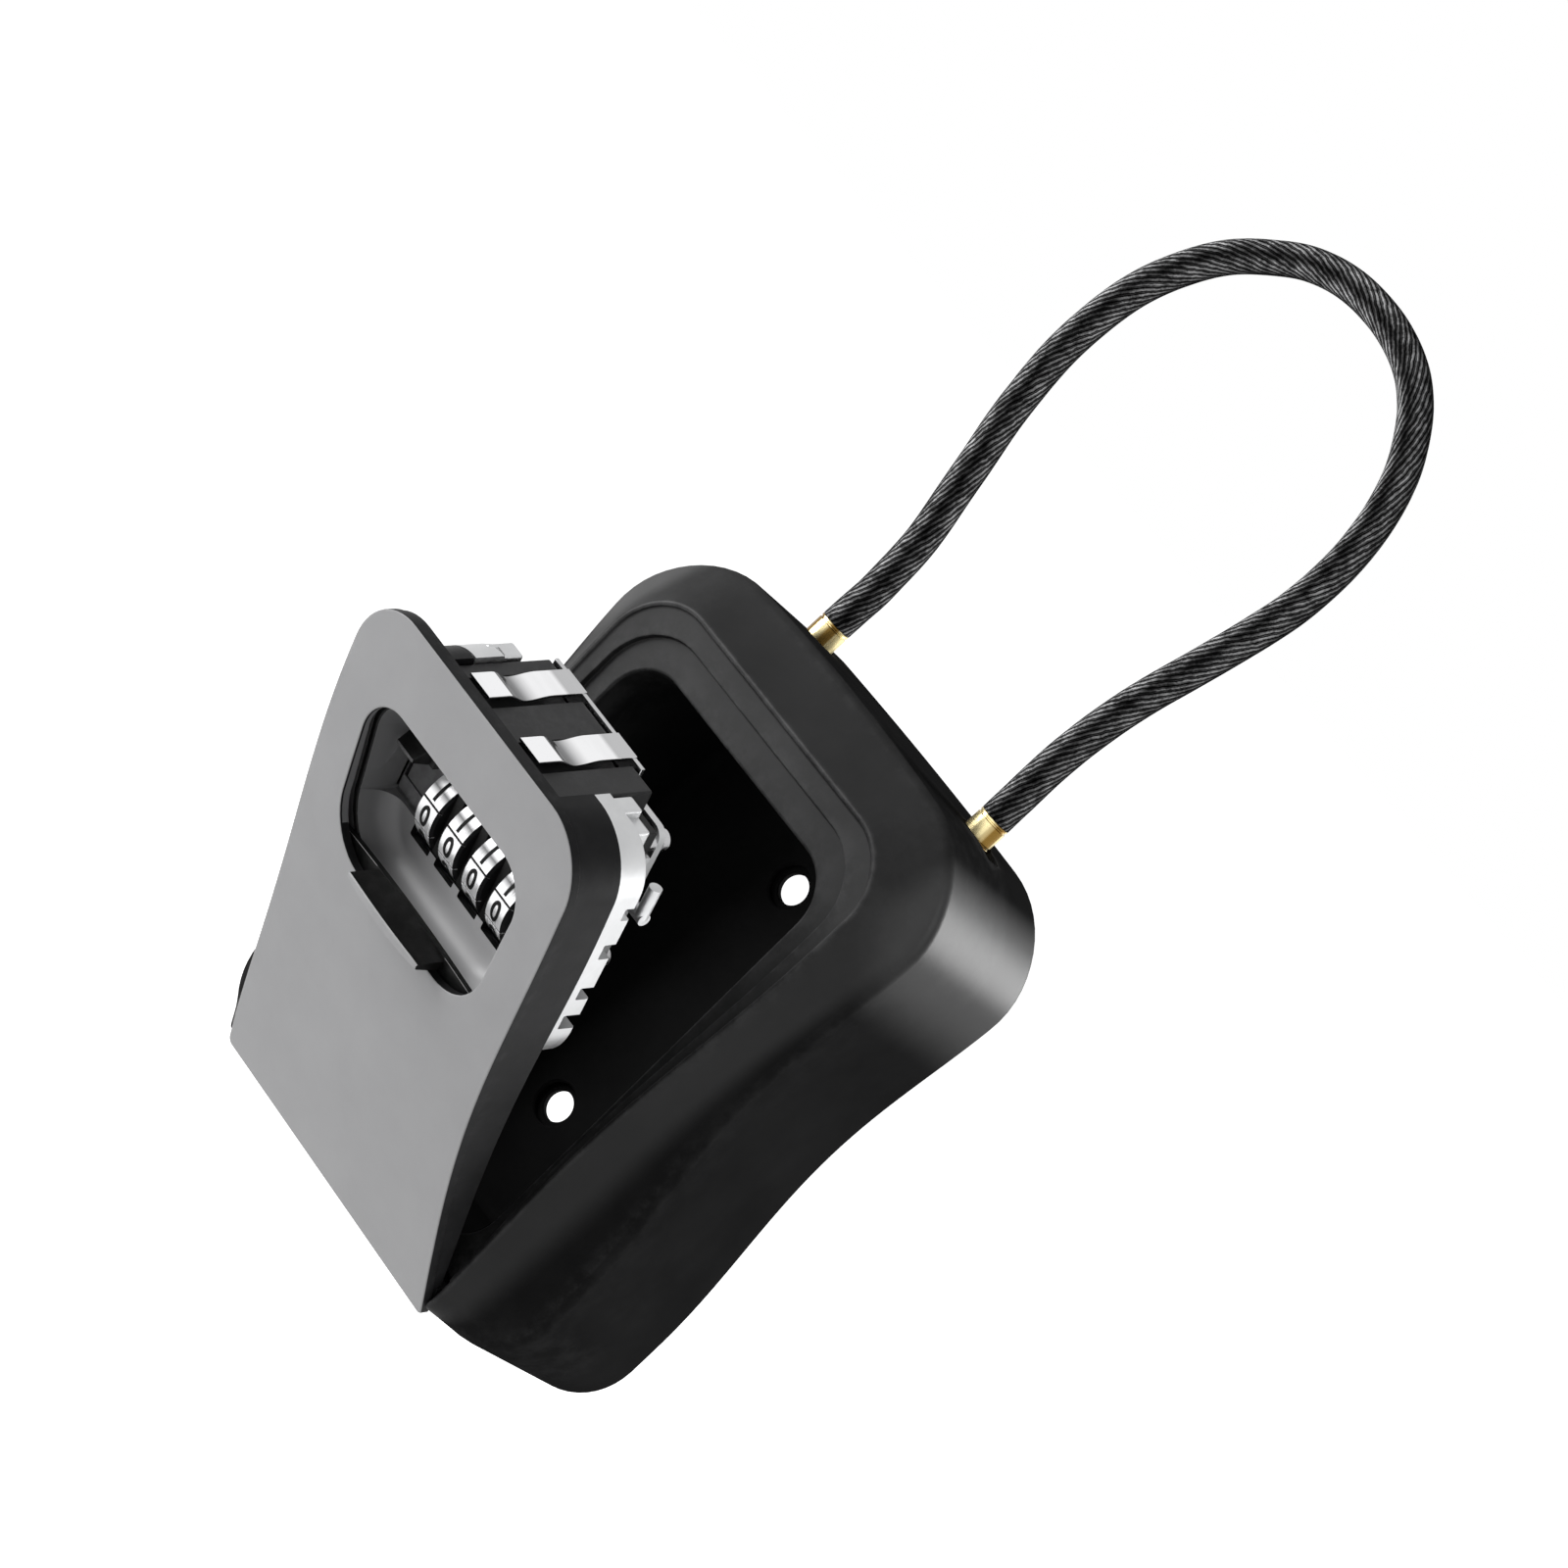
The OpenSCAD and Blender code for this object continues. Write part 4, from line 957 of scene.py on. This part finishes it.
def make_shutter():
    """The sliding weather cover, pulled down clear of the dials, with its finger ridge."""
    high = 2.6 - POCKET_LOW
    edge = [(x, high - 0.5 + 0.9 * max(0, 1 - (x / 24) ** 2))
            for x in (27.5 - 55 * k / 24 for k in range(25))]
    plate = slab([(-27.5, 0), (27.5, 0)] + edge, -1.3, -0.3, 0.12)
    rows = []
    for k in range(13):
        x = -11.5 + 23 * k / 12
        bow = 1 - (x / 11.5) ** 2
        end = 0.1 if k in (0, 12) else 0
        top, out = high - 0.55 + 0.95 * bow, 5.3 + 0.3 * bow
        rows.append([(x, n, z) for n, z in (
            (-0.4, top - end), (out - 0.25, high - end), (out, high - 0.2 - end),
            (out, high - 1.0 - 0.7 * bow), (out - 0.3, high - 1.2 - 0.7 * bow), (1.2, high - 2.3),
            (-0.4, high - 2.4))])
    finger = solid(*skin(rows))
    sill = POCKET_LOW + high * math.cos(POCKET_TILT)
    # Grey on what faces the front and black on the rest: partly the cover's own black, partly
    # painted shade on the ridge's top.
    mesh = two_tone(tilted(gathered([plate, finger])), first=1)
    # painted shade: the grey front is black where it lies back in the pocket, but for a small grey
    # corner at each end
    for face, x, n, z in spots(mesh):
        x = abs(x)
        if n < pocket_n(z) - 0.2 and (z < sill - 0.9 - (x - 11) * 0.12 or x < 11.5):
            face.material_index = 0
    piece("weather_cover", mesh, "shutter", [COVER_BLACK, DOOR_GREY], ["dial_shutter"],
          True)


def make_opening_slide():
    """The opening slide: a wedge for the thumb, its stem, its foot and the arm to the latch."""
    s0, s1, low = OPEN_X - 3.2, OPEN_X + 3.2, FLOOR_N + SLIP
    rows = []
    for x, end, back in ((s0 - 1.2, 0.15, 0), (s0 - 1.05, 0, 0), (s1 - 2.15, 0, 0.8),
                         (s1 - 2.0, 0.15, 0.8)):
        rows.append([(x + (back if n < low + 2 else 0), n, OPEN_Z + z) for n, z in (
            (low + 1.4, 0.1 + end), (low + 4.2 - end, end), (low + 4.4 - end, 0.15 + end),
            (low + 4.4 - end, 0.75 - end), (low + 4.2 - end, 0.95 - end), (low + 1.4, 4.2 - end))])
    parts = [solid(*skin(rows)),
             block(s0, s1, LOCK_FRONT - SLIP, low + 1.5, OPEN_Z + 0.2, OPEN_Z + OPEN_H - 0.2, 0.1),
             block(OPEN_X - 4.8, OPEN_X + 3.1, LOCK_FRONT - 2.9, LOCK_FRONT - SLIP, OPEN_Z - 8.5,
                   OPEN_Z + 4.8, 0.2),
             block(OPEN_X - 4.5, OPEN_X + 0.5, LOCK_BACK, LOCK_FRONT - 2.8, OPEN_Z + 1.8,
                   OPEN_Z + 4.8, 0.2)]
    # Grey on what faces the front and black on the rest: partly the slide's own black, partly
    # painted shade on the wedge's top.
    mesh = two_tone(gathered(parts), limit=0.85)
    for face, _, n, _ in spots(mesh):
        if LOCK_FRONT < n < low + 4:
            face.material_index = 1
    piece("opening_slide_black", mesh, "opener", [SLIDE_GREY, COVER_BLACK], ["opening_slide"],
          True)


DIAL_TURN = -5
NUMERAL_H, NUMERAL_RISE = 4.3, 0.02


def make_dial(k, x):
    """A silver dial: ten fields for the numerals, with a black groove between each two."""
    profile = [(0.6, -2.65), (0.93, -2.65), (0.985, -2.5), (1.0, -2.42), (1.0, 2.25),
               (0.985, 2.36), (0.93, 2.65), (0.6, 2.65)]
    field = [(part, 1) for part in (-16.6, -16, -10, -5, 0, 5, 10, 16, 16.6)]
    rings, shades = [], []
    for f in range(10):
        for part, dip in field + [(16.8, 0.965), (19.2, 0.965)]:
            a = math.radians(36 * f + DIAL_TURN + part)
            rim = dip * DIAL_R
            # painted shade: strongest across the middle of each field, none on the zero field
            shades.append(0 if f == 0 else max(0, 1 - abs(part) / 9.5))
            rings.append([(x + h, SPINDLE_N + rim * r * math.cos(a),
                           SPINDLE_Z + rim * r * math.sin(a)) for r, h in profile])
    verts, faces = skin(rings, closed=True)
    dial = solid(verts, faces)
    for face in dial.polygons:
        face.material_index = 1 if abs(face.normal.x) > 0.6 else 0
    shade = dial.attributes.new("shade", "FLOAT", "POINT")
    shade.data.foreach_set("value", [v for v in shades for _ in profile])
    body = f"code_dial_{k}"
    piece(f"silver_dial_{k}", dial, body, [DIAL_SILVER, SHELL_BLACK], [f"dial_{k}"],
          True, sharp=14)
    marks = []
    for f in range(10):
        angle = 36 * f + DIAL_TURN
        marks += [numeral(f, x, angle), groove_line(x, angle + 18)]
    piece(f"dial_numerals_{k}", gathered(marks), body, INK_BLACK, on_door=True)


def on_dial(x, angle, across, up, rise):
    """Turns a flat place at a dial's rim into a millimetre point."""
    a = math.radians(angle) + up / DIAL_R
    return (x + across, SPINDLE_N + (DIAL_R + rise) * math.cos(a),
            SPINDLE_Z + (DIAL_R + rise) * math.sin(a))


def groove_line(x, angle):
    """The black line in a dial's groove."""
    points = [on_dial(x, angle, across, up, rise) for rise in (-0.36, -0.1)
              for across, up in ((-2.5, -0.18), (2.4, -0.18), (2.4, 0.18), (-2.5, 0.18))]
    return solid(*skin([points[:4], points[4:]]))


def numeral(digit, x, angle):
    """A plain numeral that stands a hair out of its field and is bent round the dial."""
    curve = bpy.data.curves.new("numeral", "FONT")
    curve.body, curve.size, curve.extrude, curve.offset = str(digit), 5.2, 0.04, 0.12
    curve.align_x, curve.align_y, curve.resolution_u = "CENTER", "CENTER", 4
    mesh = as_mesh(linked("numeral", curve))
    low, high = ([edge(v.co[i] for v in mesh.vertices) for i in (0, 1)] for edge in (min, max))
    work = bmesh.new()
    work.from_mesh(mesh)
    for k in range(1, 10):
        level = low[1] + (high[1] - low[1]) * k / 10
        bmesh.ops.bisect_plane(work, geom=work.verts[:] + work.edges[:] + work.faces[:],
                               plane_co=(0, level, 0), plane_no=(0, 1, 0))
    written(work, mesh)
    for v in mesh.vertices:
        across = (v.co.x - (low[0] + high[0]) / 2) * 0.9 - 0.1
        up = (v.co.y - (low[1] + high[1]) / 2) * NUMERAL_H / (high[1] - low[1])
        px, pn, pz = on_dial(x, angle, across, up, v.co.z + NUMERAL_RISE)
        v.co = (px * MM, -pn * MM, pz * MM)
    return mesh


make_door_face()
make_door_shell()
make_dish()
make_shutter()
make_opening_slide()
for number, middle in enumerate(DIAL_X, 1):
    make_dial(number, middle)

# ---------------------------------------------------------------- the lock inside the door


def make_lock_body():
    body = block(LOCK_LEFT, LOCK_RIGHT, LOCK_BACK, LOCK_FRONT, LOCK_FOOT, HEAD_FOOT, 0.4)
    head = block(HEAD_LEFT, HEAD_RIGHT, LOCK_BACK, LOCK_FRONT + 3.6, HEAD_FOOT - 1, LOCK_TOP,
                 0.5, 3)
    spring_n, slot_r = SPINDLE_N - DIAL_R, DIAL_R + 0.4
    slot = [(r, side * DIAL_SLOT_HW) for r, side in ((0, -1), (slot_r, -1), (slot_r, 1), (0, 1))]
    cutters = [turned(slot, (x, SPINDLE_N, SPINDLE_Z), "x", 72) for x in DIAL_X]
    cutters += [block(OPEN_X - 5.1, OPEN_X + 3.3, LOCK_FRONT - 3.2, 60, LOCK_FOOT + 2.4,
                      OPEN_Z + 5.2, 0.1, 1),
                block(OPEN_X - 4.8, OPEN_X + 0.8, 10, LOCK_FRONT, OPEN_Z - 6.6, OPEN_Z + 5.2,
                      0.1, 1),
                block(-14.5, 14.5, spring_n - 1.1, spring_n + 0.2, 3.5, 20.1, 0.05, 1)]
    cutters += [block(x - 3.4, x + 4.4, 15, 60, LOCK_TOP - 3.2, 60, 0.3) for x in TONGUE_X]
    body = cut_out(cut_out(body, [head], "UNION"), cutters)
    piece("lock_body_black", body, "door", LOCK_BLACK, ["lock_body"], True)


def make_tray():
    """The pale cast tray round the lock, with its flange inside the shell."""
    def front(z):
        return seat_n(z) + DOOR_GAP + 1.2

    lip = CAVITY_TOP - CAVITY_R - 1.3
    bay = (LOCK_LEFT - SLIP, LOCK_RIGHT + SLIP, 0, FAR, LOCK_FOOT - SLIP)
    rings = [ring(tray_outline(inset), n) for inset, n in (
        (0.3, TRAY_BACK), (0, TRAY_BACK + 0.3), (0, front), (1.8, front), (1.8, TRAY_BACK + 2.2),
        (2.4, TRAY_BACK + 1.6))]
    cutters = [block(*bay, HEAD_FOOT + SLIP, 0),
               block(HEAD_LEFT - SLIP, HEAD_RIGHT + SLIP, 0, FAR, LOCK_FOOT, 60, 0),
               block(-40, 40, TRAY_FRONT, FAR, lip, 60, 0.1)]
    cutters += [block(26, 40, TRAY_BACK - 1, TRAY_BACK + deep, z, z + high, 0.3) for z, high, deep
                in ((26, 2.6, 2.0), (17.5, 3.2, 2.6), (8.5, 2.6, 3.0), (2, 3, 3.6))]
    cup = cut_out(solid(*skin(rings)), cutters)
    corners = [block(x0, x1, TRAY_BACK - 4.5, TRAY_BACK + 1.4, HEAD_FOOT - 4, top, 0.5, 3)
               for x0, x1, top in ((HEAD_LEFT - 4.4, HEAD_LEFT - 0.6, CAVITY_TOP - 1.4),
                                   (HEAD_RIGHT + 0.6, HEAD_RIGHT + 4.4, CAVITY_TOP - 1.4),
                                   (HEAD_RIGHT + 0.7, HEAD_RIGHT + 8, CAVITY_TOP - 3))]
    corner = [(-27.4, 33), (-27.1, 36.9), (-25.6, 38.1), (-23.7, 39), (-20.9, 39), (-20.9, 33)]
    corners.append(slab(corner, TRAY_BACK - 1, TRAY_FRONT, 0.3))
    flange = []
    for inset, up in ((2.6, 0.1), (2.6, 1.1), (8, 1.1), (8, 0.1)):
        points = [(x, min(max(z, -9.5), lip)) for x, z in door_outline(inset)]
        flange.append(ring(points, seat_n, -DOOR_GAP - up))
    plate = cut_out(solid(*skin(flange, closed=True)), [block(*bay, 60, 0)])
    piece("lock_tray", gathered([cup, plate] + corners), "door", TRAY_METAL, ["lock_frame"],
          True)


def eased(t):
    return 0.5 - 0.5 * math.cos(math.pi * max(0, min(1, t)))


def tongue_z(n):
    """Height of a tongue: a flat pad behind the door's lip, a dip, and a crest."""
    pad, dip, crest = LOCK_FRONT - 1, LOCK_FRONT - 5.2, LOCK_FRONT - 10.8
    return (LOCK_TOP + 1.15 - 1.4 * eased((pad - n) / (pad - dip))
            + 0.8 * eased((dip - n) / (dip - crest)))


def make_latch():
    """The bright latch plate with its two waved tongues."""
    front, steps = LOCK_FRONT + 3.1, 48
    strip = round_rect(-3.1, 3.1, -0.25, 0.25, 0.12, 2)
    parts = []
    for x in TONGUE_X:
        rings = []
        for k in range(steps + 1):
            n = LATCH_N + (front - LATCH_N) * k / steps
            z = tongue_z(n)
            slope = (tongue_z(n + 0.05) - tongue_z(n - 0.05)) / 0.1
            rings.append([(x + across, n - up * slope, z + up) for across, up in strip])
        tongue = solid(*skin(rings))
        # The side faces take an even bright chrome, a lit copy of the latch chrome without its
        # painted dip shade, so they show as a bright line.
        for face in tongue.polygons:
            face.material_index = 1 if abs(face.normal.x) > 0.7 else 0
        parts.append(tongue)
    left, right, low, top = HEAD_LEFT + 0.7, 8.6, 21, tongue_z(LATCH_N)
    plate = slab([(left, low), (right, low), (right, top), (left, top)], LATCH_N, LATCH_N + 0.9,
                 0.15)
    plate = cut_out(plate, [block(-8.4, -2.8, 10, 30, 26, LOCK_TOP - 1.0, 0.4)])
    piece("latch_bright", gathered(parts + [plate]), "latch", [LATCH_CHROME, LATCH_EDGE],
          ["latch_plate"], True)


make_lock_body()
make_tray()
make_latch()

# ---------------------------------------------------------------- pieces kept from the frame

KEPT = {
    "hinge_pin": STEEL, "release_cover": CASE_BLACK, "release_cover_screws": STEEL,
    "release_slide": TRAY_METAL, "door_pins": SHELL_BLACK, "lock_cover": TRAY_METAL,
    "lock_cover_screws": STEEL, "detent_spring": STEEL, "spindle": STEEL, "key_hook": TRAY_METAL,
    "reset_lever": TRAY_METAL, "code_wheel_1": BRASS, "code_wheel_2": BRASS,
    "code_wheel_3": BRASS, "code_wheel_4": BRASS}
for kept, finish in KEPT.items():
    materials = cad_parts[kept].data.materials
    materials.clear()
    materials.append(finish)

# ---------------------------------------------------------------- floor and light


def shown_white(on, lit, white):
    """A white look for what the camera, a reflection or a clear body sees, and a lit one."""
    camera, glossy, clear = (on.node("LightPath", output=f"Is {kind} Ray")
                             for kind in ("Camera", "Glossy", "Transmission"))
    seen = on.math("MAXIMUM", on.math("MAXIMUM", camera, glossy), clear)
    return on.node("MixShader", None, {0: seen, 1: lit, 2: white})


def pale(name):
    """A pale floor that reads as white, and still takes the shadow of what stands over it."""
    material = bpy.data.materials.new(name)
    floor = Nodes(material)
    ground = floor.node("BsdfDiffuse", None, {0: grey(0.8)})
    glow = floor.node("Emission", None, {1: 0.94})
    both = floor.node("AddShader", None, {0: ground, 1: glow})
    floor.node("OutputMaterial", None, {0: shown_white(floor, ground, both)})
    return material


def make_floor():
    mesh = bpy.data.meshes.new("floor")
    corners = [(x * 6, y * 6, -0.2) for x, y in ((-1, -1), (1, -1), (1, 1), (-1, 1))]
    mesh.from_pydata(corners, [], [(0, 1, 2, 3)])
    mesh.materials.append(pale("floor_pale"))
    linked("floor", mesh)


def area_light(name, place, target, size, watts):
    data = bpy.data.lights.new(name, "AREA")
    data.shape, data.size, data.size_y, data.energy = "RECTANGLE", size[0], size[1], watts
    light = linked(name, data)
    light.location = place
    light.rotation_euler = (Vector(target) - Vector(place)).to_track_quat("-Z", "Y").to_euler()


def light_world():
    world = bpy.data.worlds.new("studio")
    bpy.context.scene.world = world
    sky = Nodes(world)
    room, white = (sky.node("Background", None, {0: grey(1), 1: level}) for level in (0.2, 1.0))
    sky.node("OutputWorld", None, {0: shown_white(sky, room, white)})


make_floor()
light_world()
for lamp in (("key", (-0.62, -0.55, 0.14), (0, -0.05, 0), (0.5, 0.5), 8),
             ("side", (1.2, -0.5, 0.6), (0, 0, 0.03), (0.4, 1.0), 3),
             ("rim", (0.5, 0.92, 0.36), (0, 0, 0.03), (0.5, 0.5), 13),
             ("low_fill", (0.2, -1.3, -0.15), (0, 0, 0), (1.0, 0.5), 1.5)):
    area_light(*lamp)

bpy.context.scene.view_settings.view_transform = "Standard"
bpy.context.view_layer.update()
